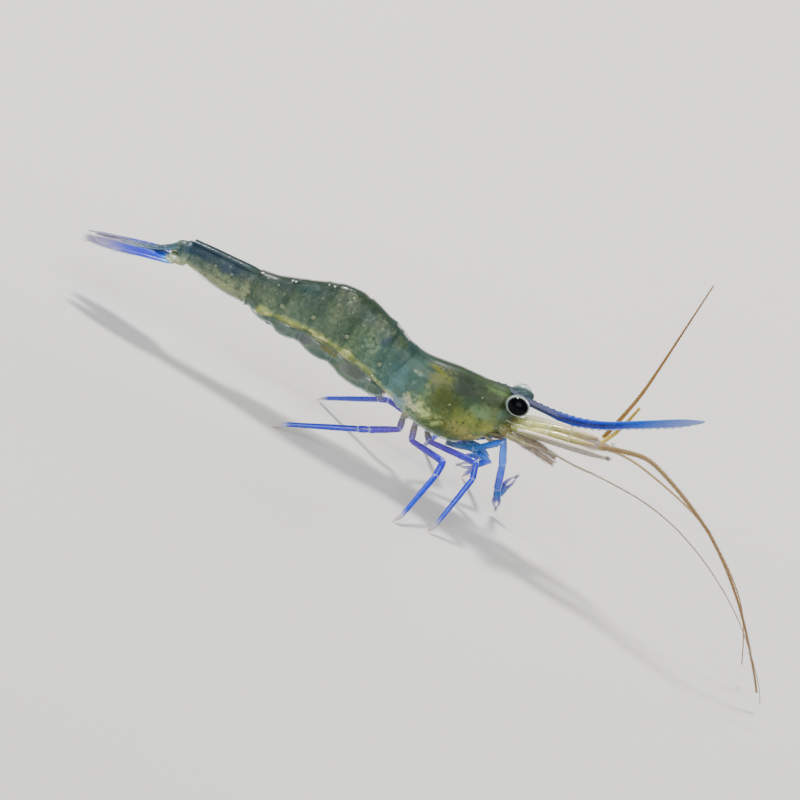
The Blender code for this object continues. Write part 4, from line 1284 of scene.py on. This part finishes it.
def eyeMaterial(style, label):
    material, shader = newMaterial(
        "eyeCore" + label, Roughness=0.2, Coat_Weight=0.05, Coat_Roughness=0.03, IOR=1.3,
        Specular_IOR_Level=0.1)
    angle = named("angle")
    grain = noisy(put("TexCoord", output="Object"), 6500.0, 4.0)
    angle = angle + (grain - 0.5) * 0.1
    black, silver = style["blackReach"][label], style["ringReach"]
    ring, back = style["ringTones"][label]
    inner, outer = black / 3.1416, silver / 3.1416
    # the silver ring round the black is partly the eye's own pale rim and partly painted light from the edge
    # of the clear cornea
    colour = ramp(angle / 3.1416, [
        (0.0, (2, 5, 8)), (inner - 0.02, (3, 7, 10)), (inner + 0.02, (126, 138, 132)),
        (0.5 * (inner + outer), ring),
        (outer, (132, 148, 138)), (outer + 0.06, back), (0.72, (66, 90, 88)), (1.0, (110, 130, 86))])
    fore = split(useGroup(placeGroup)["Place"])[0]
    colour = over(colour, (0.52, 0.52, 0.58, 1.0), remap(fore, 7.5, 8.05, 0.0, 0.85), "MULTIPLY")
    colour = over(colour, (84, 104, 106), remap(grain, 0.48, 0.66) * (remap(angle, black, black + 0.1) * 0.5))
    dress(shader, (grain, 0.06, 0.16), Base_Color=colour)
    return material


def corneaMaterial():
    material, shader = newMaterial("cornea", Roughness=0.03, Coat_Weight=1.0, Coat_Roughness=0.02, IOR=1.5)
    facets = put("TexVoronoi", {"Vector": useGroup(placeGroup)["Place"], "Scale": 26.0}, "Distance")
    tone = over((205, 214, 214), (168, 184, 182), facets)
    clearness = [(0.0, 0.0), (0.28, 0.0), (0.36, 0.16), (0.42, 0.2), (0.5, 0.1), (1.0, 0.06)]
    alpha = ramp(named("angle") / 3.1416, clearness)
    dress(shader, None, (facets, 0.15, 0.01), Base_Color=tone, Alpha=alpha)
    return material


corneaFinish = corneaMaterial()
for side in sides:
    centre, radius = eyeBall(side)
    outward = Vector(eyeStyle["outward"][side])
    layers = (("eye", radius - eyeStyle["cornea"], eyeMaterial(eyeStyle, side)),
              ("cornea", radius, corneaFinish))
    for name, size, finish in layers:
        points, angles = ballGrid((0, 0, 0), size, outward, 40, 48)
        points = points * eyeStyle["shape"] + np.array(centre)
        piece = closedTube(name + side, points, finish, {"angle": angles}, sharp=80.0)
        finishPiece(piece, "eye", "eye_" + side.lower())
print("eyes made")


# rostrum
rostrumStyle = {
    # the blade runs from the ridge of the carapace to its tip; half thickness and ridge height in mm
    "start": 5.6, "stop": 15.96, "halfThick": 0.15, "ridge": 0.15,
    # first and last place, spacing and depth of the teeth
    "upperTeeth": (5.9, 11.4, 0.34, 0.050), "lowerTeeth": (10.2, 15.8, 0.31, 0.075),
    "rows": 460, "columns": 24,
}


def sawEdge(x, first, last, pitch, depth):
    # forward-leaning saw teeth between two places
    inside = fade(x, first, first + 0.3) * fade(x, last, last - 0.3)
    part = ((x - first) / pitch) % 1.0
    return depth * inside * np.where(part < 0.8, (part / 0.8) ** 1.8, (1 - part) / 0.2)


def rostrumGrid(style):
    # rings of the blade from its rear end to its tip, with the height in the blade of each point
    tree = rayTree(["rostrum"])
    rows = []
    for x in np.arange(7.18, 15.99, 0.05):
        top = hit(tree, (x, 0.0, 30.0), (0, 0, -1), 2)
        low = hit(tree, (x, 0.0, -5.0), (0, 0, 1), 2)
        if top is not None and low is not None:
            rows.append((x, top, low))
    places, tops, lows = np.array(rows).T.copy()
    for edge in (tops, lows):
        edge[4:-4] = np.convolve(edge, np.ones(9) / 9, "valid")
    xs = np.linspace(style["start"], style["stop"], style["rows"])
    top, low = np.interp(xs, places, tops), np.interp(xs, places, lows)
    # the upper edge leaves the ridge of the carapace in an easy curve
    climb = fade(xs, style["start"], style["start"] + 0.9) ** 0.6
    ridge = backAt(np.minimum(xs, 6.6)) - 0.02 + style["ridge"] * climb
    blend = fade(xs, 6.5, 7.8)
    blend = blend * blend * (3 - 2 * blend)
    raised = np.maximum(top, np.interp(7.8, places, tops))
    top = np.where(xs > 7.8, top, ridge * (1 - blend) + raised * blend)
    low = np.where(xs < 7.2, ridge - 0.34, low)
    top, low, upper, lower = (line[:, None] for line in (
        top, low, sawEdge(xs, *style["upperTeeth"]), sawEdge(xs, *style["lowerTeeth"])))
    # one ring: a flat blade with a rib along the middle and sharp edges
    c, s = np.cos(circle(style["columns"])), np.sin(circle(style["columns"]))
    outline = 0.8 * np.sign(s) * np.abs(s) ** 1.5 * (1 + 0.35 * np.exp(-((c + 0.1) / 0.22) ** 2))
    thick = style["halfThick"] * (1 - 0.62 * fade(xs, 7.2, 16.0))
    thick = thick * np.minimum(1.0, 0.35 + 0.5 * (xs - style["start"]))
    y = thick[:, None] * outline
    z = 0.5 * (top + low) + 0.5 * (top - low) * c + upper * fade(c, 0.75, 1.0) - lower * fade(-c, 0.75, 1.0)
    grid = np.stack([np.broadcast_to(xs[:, None], y.shape), y, z], 2)
    return grid, np.broadcast_to(0.5 + 0.5 * c, y.shape)


def rostrumMaterial():
    material, shader = newMaterial(
        "rostrumShell", Coat_Weight=0.3, Coat_Roughness=0.08, IOR=1.36, Subsurface_Weight=0.1,
        Subsurface_Scale=0.2 * mm)
    place = useGroup(placeGroup)["Mirrored"]
    x = split(place)[0]
    height = named("height")
    mottle = useGroup(mottleGroup, Place=place, Broad=2.4, Fine=10.0)
    share = remap(x, 5.6, 16.0, smooth=False)
    middle = ramp(share, [(0.0, (96, 118, 92)), (0.14, (58, 74, 84)), (0.26, (36, 48, 88)),
                          (0.36, (30, 54, 136)), (0.46, (20, 56, 184)), (0.62, (22, 66, 196)),
                          (0.74, (60, 96, 196)), (0.86, (112, 132, 196)), (1.0, (150, 164, 200))])
    coreShare = remap(height, 0.24, 0.44) * remap(height, 0.78, 0.58)
    core = coreShare * (remap(x, 7.4, 8.2) * remap(x, 13.6, 11.8))
    colour = over(middle, (10, 22, 74), core * 0.85)
    # painted highlight: light blue along the upper edge of the blade
    upper = remap(height, 0.84, 0.98) * remap(x, 9.0, 11.0)
    colour = over(colour, (96, 146, 226), upper * 0.75)
    lower = remap(height, 0.2, 0.03) * remap(x, 9.8, 11.0)
    colour = over(colour, (190, 202, 226), lower * 0.85)
    colour = over(colour, (96, 118, 170), mottle["Cloud"] * remap(x, 8.0, 11.0, 0.06, 0.2))
    solid = ramp(share, [(0.0, 0.7), (0.14, 0.85), (0.24, 0.97), (0.7, 0.98), (1.0, 0.85)])
    grain = mottle["Grain"]
    alpha = most(solid, core * 0.95)
    dress(shader, (grain, 0.16, 0.32), (grain, 0.35, 0.015), Base_Color=colour, Alpha=alpha)
    return material


sawGrid, sawHeight = rostrumGrid(rostrumStyle)
piece = closedTube("rostrumBlade", sawGrid, rostrumMaterial(), {"height": sawHeight}, sharp=40.0)
finishPiece(piece, "rostrum", "rostrum")
print("rostrum made")


# leaf blades: tail fan and antennal scales
bladeStyles = {
    # how far the leaf goes towards the tip (bristles do the rest), its thickness, camber and rib
    # height in mm, where the ribs run across it, and how blunt its tip is
    "telson": {"name": "telsonBlade", "slot": "shell", "reach": 0.80, "thick": 0.14, "camber": 0.05,
               "ribs": (-0.55, 0.55), "ribHeight": 0.022, "tipPower": 0.7, "rootRise": 0.26, "droop": 0.20},
    "uropod_inner": {"name": "innerFin", "slot": "tail_fin", "reach": 0.86, "thick": 0.07, "camber": 0.05,
                     "ribs": (0.0,), "ribHeight": 0.05, "tipPower": 0.5, "wider": 1.45, "rise": 0.20},
    "uropod_outer": {"name": "outerFin", "slot": "tail_fin", "reach": 0.86, "thick": 0.07, "camber": 0.05,
                     "ribs": (0.12, 0.82), "ribHeight": 0.05, "tipPower": 0.5, "closer": 0.65, "rise": 0.08},
    "antennal_scale": {"name": "antennalScale", "slot": "pale_limb", "reach": 0.94, "thick": 0.06,
                       "camber": 0.04, "ribs": (0.82,), "ribHeight": 0.09, "tipPower": 0.5, "wider": 1.15},
}


def readBlade(node):
    # middle line, half width and the direction across, from root to tip
    rings = tubeRings(node, 8, near=(0.0, 0.0, 4.5))
    centres = np.array([r[0] for r in rings])
    side = -1.0 if centres[-1][1] < 0 else 1.0
    widths, edges = [], []
    for centre, _, corners in rings:
        away = np.array([c - centre for c in corners])
        edge = np.linalg.svd(away)[2][0]
        edge = edge * (1.0 if edge[1] * side > 0 else -1.0)
        edges.append(edge)
        widths.append(np.abs(away @ edge).max())
    return centres, np.array(widths), np.array(edges)


def leafGrid(node, style, rows=64, half=14):
    centres, widths, edges = readBlade(node)
    run = pathLength(centres)
    ts = np.linspace(0, style["reach"], rows)
    at = lambda column: curveThrough(list(zip(run / run[-1], column)))(ts)
    line = np.stack([at(centres[:, k]) for k in range(3)], 1)
    edge = unit(np.stack([at(edges[:, k]) for k in range(3)], 1))
    # the fan closes a little towards its tip, and the telson droops
    line[:, 1] *= 1 - style.get("closer", 0.0) * ts
    line[:, 2] += style.get("rise", 0.0) * fade(ts, 0.0, 0.3) - style.get("droop", 0.0) * ts ** 2
    tip = fade(ts / style["reach"], 0.72, 1.0)
    wide = at(widths) * style.get("wider", 1.0) * np.maximum(0.03, (1 - tip ** 2) ** style["tipPower"])
    wide = wide * (0.55 + 0.45 * fade(ts, 0.0, 0.06))
    tangent = unit(np.gradient(line, axis=0))
    face = np.cross(tangent, edge)
    face = face * np.where(face[:, 2:] < 0, -1.0, 1.0)
    t, s = np.meshgrid(ts / style["reach"], np.linspace(-1, 1, 2 * half + 1), indexing="ij")
    hump = style.get("rootRise", 0.0) * (1 - t) ** 5 * (1 - s ** 2)
    rib = sum(np.exp(-((s - r) / 0.10) ** 2) for r in style["ribs"]) * style["ribHeight"] * (1 - 0.8 * t)
    lift = style["camber"] * (1 - s ** 2) + hump + rib
    grid = line[:, None] + (s * wide[:, None])[..., None] * edge[:, None] + lift[..., None] * face[:, None]
    thick = (style["thick"] * (1 - 0.55 * t) + 1.6 * rib) * (0.45 + 0.55 * (1 - s ** 4)) + 1.5 * hump
    outward = 1.0 if (gridNormals(grid, False)[:, half] * face).sum() > 0 else -1.0
    return grid, thick, outward, {"along": t, "across": s}, (line, edge, face, wide, tangent)


def finMaterial(name, stops, alphas, core, rim, rib=0.0):
    material, shader = newMaterial(name, Coat_Weight=0.1, Coat_Roughness=0.1, IOR=1.28)
    place = useGroup(placeGroup)["Mirrored"]
    along, across = named("along"), named("across")
    mottle = useGroup(mottleGroup, Place=place, Broad=2.6, Fine=11.0)
    offset = along + (mottle["Cloud"] - 0.5) * 0.1
    # fine streaks running out to the tip
    lines = noisy(put("CombineXYZ", {0: across * 7.0, 1: along * 2.4}), 1.6)
    ragged = (lines - 0.5) * remap(along, 0.15, 0.4, 0.0, 0.8)
    offset = offset + ragged
    colour = ramp(offset, stops)
    colour = over(colour, core, remap(lines, 0.52, 0.68) * 0.55)
    colour = over(colour, (206, 202, 222), remap(lines, 0.44, 0.34) * remap(along, 0.56, 0.8, 0.0, 0.8))
    edge = remap(abs(across), 0.86, 0.99)
    colour = over(colour, rim, edge * 0.7)
    if rib:
        colour = over(colour, rim, remap(across, rib - 0.12, rib + 0.06))
    alpha = most(ramp(along, alphas), edge * 0.8)
    dress(shader, (mottle["Grain"], 0.3, 0.46), (lines, 0.4, 0.02), Base_Color=colour, Alpha=alpha)
    return material


bladeFinishes = {
    # name, colours from root to tip, how solid it is there, streaks, rim, and where a rim-coloured rib runs
    "telson": finMaterial(
        "telsonShell", [(0.0, (84, 102, 102)), (0.3, (66, 86, 96)), (0.6, (84, 104, 116)),
                        (1.0, (120, 128, 150))],
        [(0.0, 1.0), (0.5, 0.95), (1.0, 0.8)], (34, 50, 76), (120, 150, 164)),
    "uropod_inner": finMaterial(
        "innerFin", [(0.0, (170, 168, 130)), (0.05, (214, 216, 200)), (0.12, (50, 110, 180)),
                     (0.25, (24, 60, 170)), (0.42, (76, 92, 164)), (0.66, (132, 130, 168)),
                     (1.0, (158, 154, 176))],
        [(0.0, 1.0), (0.5, 1.0), (0.75, 0.85), (1.0, 0.7)], (10, 40, 150), (120, 150, 230)),
    "uropod_outer": finMaterial(
        "outerFin", [(0.0, (170, 168, 130)), (0.05, (214, 216, 200)), (0.09, (90, 156, 206)),
                     (0.16, (14, 84, 200)), (0.30, (6, 44, 186)), (0.44, (16, 42, 184)),
                     (0.60, (70, 82, 176)), (0.78, (126, 122, 168)), (1.0, (156, 150, 176))],
        [(0.0, 1.0), (0.5, 1.0), (0.75, 0.82), (1.0, 0.65)], (10, 34, 140), (120, 150, 230)),
    "antennal_scale": finMaterial(
        "scaleShell", [(0.0, (196, 196, 156)), (0.3, (160, 154, 134)), (0.7, (146, 136, 124)),
                       (1.0, (160, 144, 134))],
        [(0.0, 0.9), (0.5, 0.72), (1.0, 0.7)], (120, 112, 100), (252, 246, 232), 0.5),
}
bladeFrames = {}
for label, style in bladeStyles.items():
    for node in nodesOf(label):
        grid, thick, outward, values, bladeFrames[node] = leafGrid(node, style)
        name = style["name"] + node[len(label) + 1:].capitalize()
        piece = thinShell(name, grid, thick, bladeFinishes[label], values, outward)
        finishPiece(piece, style["slot"], node)
print("tail fan and antennal scales made")


# swimmerets folded up between the side plates
swimmeretStyle = {
    # the two leaves of each: lean apart and length in mm; half thickness of the stem, half width and
    # half thickness of a leaf, and the share of the whole that is stem
    "leaves": {"Inner": (-0.5, 0.819), "Outer": (0.6, 0.966)},
    "stem": 0.11, "leafWide": 0.20, "leafThick": 0.03, "stemShare": 0.35, "rings": 30, "columns": 12,
}
swimmeretFinish = limbMaterial(
    "swimmeretShell",
    [(0.0, (128, 138, 118)), (0.4, (120, 126, 134)), (1.0, (112, 112, 140))], 0.2, (190, 196, 206))


def swimmeretRail(root, knee, tip, lean, length, style):
    # path of one leaf, the direction across it and its half width
    side = 1.0 if root[1] > 0 else -1.0
    end = knee + (unit(tip - knee) + np.array((0.0, 0.16 * side * lean, -0.10 * lean))) * length
    start, sagging = root + (0, 0.05 * side * lean, 0.0), 0.5 * (knee + end) + (0, 0, -0.06)
    knots = [start, knee * 0.6 + root * 0.4, knee, sagging, end]
    path = evenPath(knots, style["rings"])
    t = np.linspace(0, 1, style["rings"])
    leaf = 0.08 + style["leafWide"] * np.sin(math.pi * fade(t, style["stemShare"], 1.0)) ** 0.7
    wide = np.where(t < style["stemShare"], style["stem"], leaf) * (1 - 0.6 * t ** 6)
    return path, unit(np.cross(travelFrames(path)[0], (0.0, 1.0, 0.0))), wide, t


swimmeretRails = []
for node in nodesOf("swimmeret"):
    bones = [np.array(j[0]) for j in limbJoints(node, 6, (-3.0, 0.0, 60.0))]
    for suffix, (lean, length) in swimmeretStyle["leaves"].items():
        path, flatWay, wide, t = swimmeretRail(*bones, lean, length, swimmeretStyle)
        stem, leafFrom = swimmeretStyle["stem"], swimmeretStyle["stemShare"]
        deep = stem + (swimmeretStyle["leafThick"] - stem) * fade(t, leafFrom, leafFrom + 0.2)
        other = np.cross(travelFrames(path)[0], flatWay)
        grid = ovalRings(path, wide, deep, flatWay, other, swimmeretStyle["columns"])
        piece = closedTube(camel(node) + suffix, grid, swimmeretFinish, {"along": t, "knee": t * 0 + 1.0})
        finishPiece(piece, "pale_limb", node)
        swimmeretRails.append((node, path, flatWay, wide))
print("swimmerets made")


# hinge rings where the plates meet, and small spines on the front edge of the carapace
hingeStyle = {
    # places along the body, share of the flank's height, radius of the ring and of its wire in mm
    "joints": (0.55, -1.55, -3.46, -5.10, -6.92), "share": 0.47, "radius": 0.065, "thick": 0.034,
    "rows": 24, "columns": 8,
}
# place, length and radius of each spine, and how far its root is sunk
spineStyle = {"spines": [(7.50, 0.76, 5.72, 0.34, 0.085), (7.24, 0.84, 5.12, 0.26, 0.07)], "sunk": 0.12}
hingeFinish = limbMaterial(
    "hingeShell", [(0.0, (124, 132, 106)), (1.0, (150, 158, 130))], 0.0, (160, 168, 140))


def surfacePoint(x, share, side):
    # point on the flank at a share of its height
    top, bottom = float(backAt(x)), float(hemAt(x))
    z = bottom + share * (top - bottom)
    y = hit(trunkTree, (x, 10.0, z), (0, -1, 0), 1) or float(widthAt(x))
    return np.array((x, side * max(y, 0.5 * float(widthAt(x))), z))


def hingeGrid(centre, sign, style):
    turn, small = circle(style["rows"])[:, None], circle(style["columns"])[None, :]
    out = style["radius"] + style["thick"] * np.cos(small)
    lift = np.repeat(sign * style["thick"] * np.sin(small), style["rows"], 0)
    return np.stack([np.cos(turn) * out, lift, np.sin(turn) * out], 2) + centre


for side, sign in sides.items():
    for i, x in enumerate(hingeStyle["joints"]):
        centre = surfacePoint(x, hingeStyle["share"], sign) + (0.0, 0.012 * sign, 0.0)
        rows, columns = hingeStyle["rows"], hingeStyle["columns"]
        faces, first = gridFaces(rows, columns, True), (rows - 1) * columns
        faces += [(first + k, first + (k + 1) % columns, (k + 1) % columns, k) for k in range(columns)]
        blank = np.ones(rows * columns)
        points = hingeGrid(centre, sign, hingeStyle).reshape(-1, 3)
        piece = addPiece(f"hinge{i + 1}{side}", points, faces, hingeFinish, {"along": blank, "knee": blank})
        finishPiece(piece, "shell")
    for i, (x, y, z, length, radius) in enumerate(spineStyle["spines"]):
        t = np.linspace(0, 1, 12)
        sunk = spineStyle["sunk"]
        path = np.stack([x - sunk + (length + sunk) * t, sign * (y + 0.04 * t), z + 0.02 * t], 1)
        grid = tubeGrid(path, radius * (1.02 - t) ** 0.8 + 0.004, columns=10)
        piece = closedTube(f"carapaceSpine{i + 1}{side}", grid, hingeFinish, {"along": t, "knee": t + 1})
        finishPiece(piece, "shell")


# small mouth limbs folded under the head
mouthLimbStyle = {
    # places from root to tip, half thickness at the root and at the tip
    "secondMaxilliped": ([(6.70, 0.34, 4.35), (7.20, 0.46, 4.20), (7.62, 0.50, 4.42), (7.70, 0.36, 4.72)],
                         0.13, 0.08),
    "firstMaxilliped": ([(6.95, 0.26, 4.55), (7.35, 0.30, 4.42), (7.66, 0.24, 4.62)], 0.11, 0.06),
    "mandiblePalp": ([(7.50, 0.20, 4.95), (7.78, 0.26, 4.86), (7.86, 0.16, 4.66)], 0.07, 0.04),
}
for label, (knots, wide, narrow) in mouthLimbStyle.items():
    for side, sign in sides.items():
        path = evenPath(np.array(knots) * (1.0, sign, 1.0), 30, 3)
        t = np.linspace(0, 1, 30)
        radii = (wide + (narrow - wide) * t) * (1 - t ** 8) ** 0.5 + 0.004
        grid = tubeGrid(path, radii, 0.8 * radii)
        piece = closedTube(label + side, grid, maxillipedFinish, {"along": t, "knee": t * 0 + 1})
        finishPiece(piece, "pale_limb")
        limbTips[label + side] = (path, radii)
print("hinges, spines and mouth limbs made")


# bristles

def bristleMaterial(name, rootTone, tipTone):
    material, shader = newMaterial(name, Coat_Weight=0.1, Coat_Roughness=0.3)
    along = named("along")
    grain = useGroup(mottleGroup, Place=useGroup(placeGroup)["Place"], Broad=3.0, Fine=12.0)
    colour = over(rootTone, tipTone, along)
    colour = over(colour, (0.7, 0.7, 0.7, 1.0), grain["Cloud"] * 0.4, "MULTIPLY")
    dress(shader, (grain["Grain"], 0.4, 0.6), Base_Color=colour)
    return material


straight = (0.0, 0.0, 0.0)


def scatter(dice, reach):
    return np.array([dice.uniform(-reach, reach) for _ in range(3)])


def fringe(rail, style, seed, ways=(-1.0, 1.0)):
    # bristles along both margins of a leaf, longer towards its tip
    line, edge, wide = rail
    start, length, radius, gap, lean = style
    dice = random.Random(seed)
    run = pathLength(line)
    tangent = unit(np.gradient(line, axis=0))
    hairs = []
    for place in np.arange(start * run[-1], run[-1], gap):
        t = place / run[-1]
        pick = lambda table: np.array([np.interp(place, run, table[:, k]) for k in range(3)])
        centre, across, ahead = pick(line), pick(edge), pick(tangent)
        half = float(np.interp(place, run, wide))
        for way in ways:
            root = centre + across * half * way * 0.96
            direction = ahead + across * way * lean * (1.25 - t) + scatter(dice, 0.08)
            size = length * (0.45 + 0.55 * t) * dice.uniform(0.85, 1.1)
            hairs.append((root, direction, size, radius, straight, (0.1 + 0.8 * t, 0.5 + 0.4 * way)))
    # a row round the tip
    end, across, ahead, half = line[-1], edge[-1], tangent[-1], wide[-6]
    for k in np.linspace(-1, 1, max(5, int(2 * half / (0.5 * gap)))):
        root = end + across * half * 0.8 * k - ahead * 0.12 * abs(k)
        size = length * dice.uniform(0.9, 1.1)
        hairs.append((root, ahead + across * k * 0.45, size, radius, straight, (0.92, 0.5 + 0.3 * k)))
    return hairs


def fuzz(limb, start, stop, length, radius, gap, ring, ahead, seed):
    # bristles standing off a limb or feeler all round
    path, radii = limb
    dice = random.Random(seed)
    tangents, across, up = travelFrames(path)
    run = pathLength(path)
    hairs = []
    for place in np.arange(start * run[-1], stop * run[-1], gap):
        i = int(np.searchsorted(run, place).clip(0, len(path) - 1))
        first = dice.uniform(0, 6.28)
        for k in range(ring):
            turn = first + 2 * math.pi * k / ring + dice.uniform(-0.3, 0.3)
            away = math.cos(turn) * across[i] + math.sin(turn) * up[i]
            root = path[i] + away * radii[i] * 0.8
            spot = (0.1 + 0.8 * place / run[-1], 0.1 + 0.8 * (turn % 6.28) / 6.29)
            size = length * dice.uniform(0.6, 1.1)
            hairs.append((root, away + tangents[i] * ahead, size, radius, tangents[i] * 0.3, spot))
    return hairs


def telsonSpines(line, edge, face, wide, tangent, style):
    spines = []
    for row in style["rows"]:
        for way in (-style["across"], style["across"]):
            root = line[row] + edge[row] * wide[row] * way + face[row] * 0.05
            direction = tangent[row] + 0.35 * face[row]
            spot = (0.1 + row / 60, 0.5 + 0.4 * way)
            spines.append((root, direction, style["length"], style["radius"], straight, spot))
    return spines


def clawBrush(tip, way, seed, style):
    # the brush of long bristles on the fingers of a claw
    dice = random.Random(seed)
    hairs = []
    for _ in range(style["count"]):
        spread = scatter(dice, 0.45)
        root = tip - way * dice.uniform(0.0, 0.18) + 0.04 * spread
        size = dice.uniform(*style["lengths"])
        hairs.append((root, way + spread, size, 0.008, straight, (0.5 + spread[0], 0.5 + spread[2])))
    return hairs


paleBristle = bristleMaterial("paleBristle", (150, 146, 166), (190, 186, 200))
tanBristle = bristleMaterial("tanBristle", (150, 124, 84), (176, 150, 112))
greyBristle = bristleMaterial("greyBristle", (128, 120, 110), (168, 160, 152))
fringeStyle = {
    # share of the leaf where the bristles start, then length, radius, gap in mm and lean
    "telson": (0.86, 0.42, 0.010, 0.10, 0.3), "uropod": (0.42, 0.62, 0.013, 0.045, 0.42),
    "scale": (0.25, 0.34, 0.009, 0.05, 0.5), "swimmeret": (0.5, 0.22, 0.008, 0.06, 0.6),
}
telsonSpineStyle = {"rows": (16, 26, 36, 46), "across": 0.62, "length": 0.17, "radius": 0.035}
brushStyle = {"count": 46, "lengths": (0.16, 0.30)}
fuzzStyle = {
    # share of the limb where the bristles start, then length, radius and gap in mm, hairs in a ring
    # and lean towards the tip
    "maxilliped": (0.45, 1.0, 0.20, 0.008, 0.035, 6, 0.9), "mouth": (0.4, 1.0, 0.10, 0.006, 0.04, 5, 0.9),
    "antennule": (0.1, 1.0, 0.10, 0.006, 0.10, 4, 1.2), "leg": (0.35, 1.0, 0.11, 0.006, 0.16, 2, 1.0),
}
feelerFuzz = {
    # length, gap, hairs in a ring
    "antennule_outer_feeler_right": (0.15, 0.055, 5), "antennule_outer_feeler_left": (0.12, 0.07, 4),
    "antennule_inner_feeler_right": (0.10, 0.10, 3), "antennule_inner_feeler_left": (0.10, 0.08, 4),
    "antenna_feeler_right": (0.06, 0.16, 2), "antenna_feeler_left": (0.06, 0.16, 2),
}
# bristles lower than this on the feet, in mm, are left out
floorGap = 0.14
coat = []
for number, (node, (line, edge, face, wide, tangent)) in enumerate(sorted(bladeFrames.items())):
    rail, words = (line, edge, wide), node.split("_")
    if node == "telson":
        coat.append(("telsonBristles", "tail_fin", paleBristle, fringe(rail, fringeStyle["telson"], 11)))
        spines = telsonSpines(line, edge, face, wide, tangent, telsonSpineStyle)
        coat.append(("telsonSpines", "tail_fin", paleBristle, spines))
    elif words[0] == "uropod":
        name = words[1] + "FinBristles" + words[2].capitalize()
        coat.append((name, "tail_fin", paleBristle, fringe(rail, fringeStyle["uropod"], 20 + number)))
    else:
        hairs = fringe(rail, fringeStyle["scale"], 30 + number, (-1.0,))
        coat.append(("scaleBristles" + words[2].capitalize(), "pale_limb", greyBristle, hairs))
swimmeretHairs = {"Left": [], "Right": []}
for number, (node, *rail) in enumerate(swimmeretRails):
    swimmeretHairs[node.split("_")[-1].capitalize()] += fringe(rail, fringeStyle["swimmeret"], 50 + number)
for side, hairs in swimmeretHairs.items():
    coat.append(("swimmeretBristles" + side, "pale_limb", greyBristle, hairs))
for number, (label, (length, gap, ring)) in enumerate(feelerFuzz.items()):
    hairs = fuzz(feelerPaths[label], 0.01, 0.99, length, 0.007, gap, ring, 1.2, 70 + number)
    coat.append((camel(label) + "Fuzz", "feeler", tanBristle, hairs))
for side in sides:
    low = side.lower()
    hairs = fuzz(limbTips["maxilliped_" + low], *fuzzStyle["maxilliped"], 81)
    for label in mouthLimbStyle:
        hairs += fuzz(limbTips[label + side], *fuzzStyle["mouth"], 83)
    hairs += fuzz(limbTips["antennule_" + low], *fuzzStyle["antennule"], 85)
    coat.append(("headBristles" + side, "pale_limb", greyBristle, hairs))
    hairs = []
    for number in range(1, 6):
        legHairs = fuzz(limbTips[f"leg_{number}_{low}"], *fuzzStyle["leg"], 90 + number)
        hairs += [hair for hair in legHairs if hair[0][2] > floorGap]
    for number in (1, 2):
        hairs += clawBrush(*clawTips[f"leg_{number}_{low}"], 100 + number, brushStyle)
    coat.append(("legBristles" + side, "leg", paleBristle, hairs))
for name, slotName, finish, hairs in coat:
    finishPiece(hairPiece(name, hairs, finish), slotName)
print("bristles made,", sum(len(c[3]) for c in coat))


# camera, lights and floor
# angles in degrees, distance in metres, the point aimed at in mm
viewStyle = {"elevation": 20.0, "roll": 30.0, "lens": 270.0, "distance": 0.30, "aim": (2.32, 0.0, 3.54)}
elevation = math.radians(viewStyle["elevation"])
roll = math.radians(viewStyle["roll"])
level = Vector((1, 0, 0))
steep = Vector((0, math.sin(elevation), math.cos(elevation)))
rightWay = math.cos(roll) * level + math.sin(roll) * steep
upWay = -math.sin(roll) * level + math.cos(roll) * steep
backWay = rightWay.cross(upWay)
camera = bpy.data.objects.new("camera", bpy.data.cameras.new("camera"))
camera.data.lens = viewStyle["lens"]
camera.data.sensor_width = 36.0
camera.data.clip_start = 0.01
camera.data.clip_end = 10.0
aim = home + Vector(viewStyle["aim"]) * mm
turned = Matrix((rightWay, upWay, backWay)).transposed().to_4x4()
turned.translation = aim + backWay * viewStyle["distance"]
camera.matrix_world = turned
bpy.context.scene.collection.objects.link(camera)
bpy.context.scene.camera = camera

lightStyle = {
    # name: place from the aim in mm, size in mm, watts, colour
    "overheadLight": ((-80.0, 95.0, 218.0), 44.0, 0.95, (1.0, 0.98, 0.95)),
    "frontLight": ((40.0, -330.0, 330.0), 420.0, 1.9, (0.97, 0.98, 1.0)),
    "rimLight": ((120.0, 230.0, 90.0), 90.0, 0.4, (1.0, 0.97, 0.92)),
}
for name, (offset, size, watts, tone) in lightStyle.items():
    lamp = bpy.data.lights.new(name, "AREA")
    lamp.shape = "DISK"
    lamp.size = size * mm
    lamp.energy = watts
    lamp.color = tone
    holder = bpy.data.objects.new(name, lamp)
    holder.location = aim + Vector(offset) * mm
    holder.rotation_euler = (-Vector(offset)).to_track_quat("-Z", "Y").to_euler()
    bpy.context.scene.collection.objects.link(holder)

world = bpy.data.worlds.new("studio")
bpy.context.scene.world = world
world.use_nodes = True
world.node_tree.nodes["Background"].inputs["Color"].default_value = (0.86, 0.87, 0.88, 1.0)
world.node_tree.nodes["Background"].inputs["Strength"].default_value = 0.5

floorMaterial, shader = newMaterial("floorPaint", Roughness=0.75)
grain = noisy(put("TexCoord", output="Object"), 40.0, 4.0)
dress(shader, Base_Color=over((0.62, 0.61, 0.59, 1.0), (0.66, 0.65, 0.63, 1.0), grain))
floorMesh = bpy.data.meshes.new("floor")
floorReach = 3.0
corners = [(floorReach * x, floorReach * y, 0.0) for x, y in ((-1, -1), (1, -1), (1, 1), (-1, 1))]
floorMesh.from_pydata(corners, [], [(0, 1, 2, 3)])
floorMesh.materials.append(floorMaterial)
floor = bpy.data.objects.new("floor", floorMesh)
bpy.context.scene.collection.objects.link(floor)
print("camera, lights and floor made")
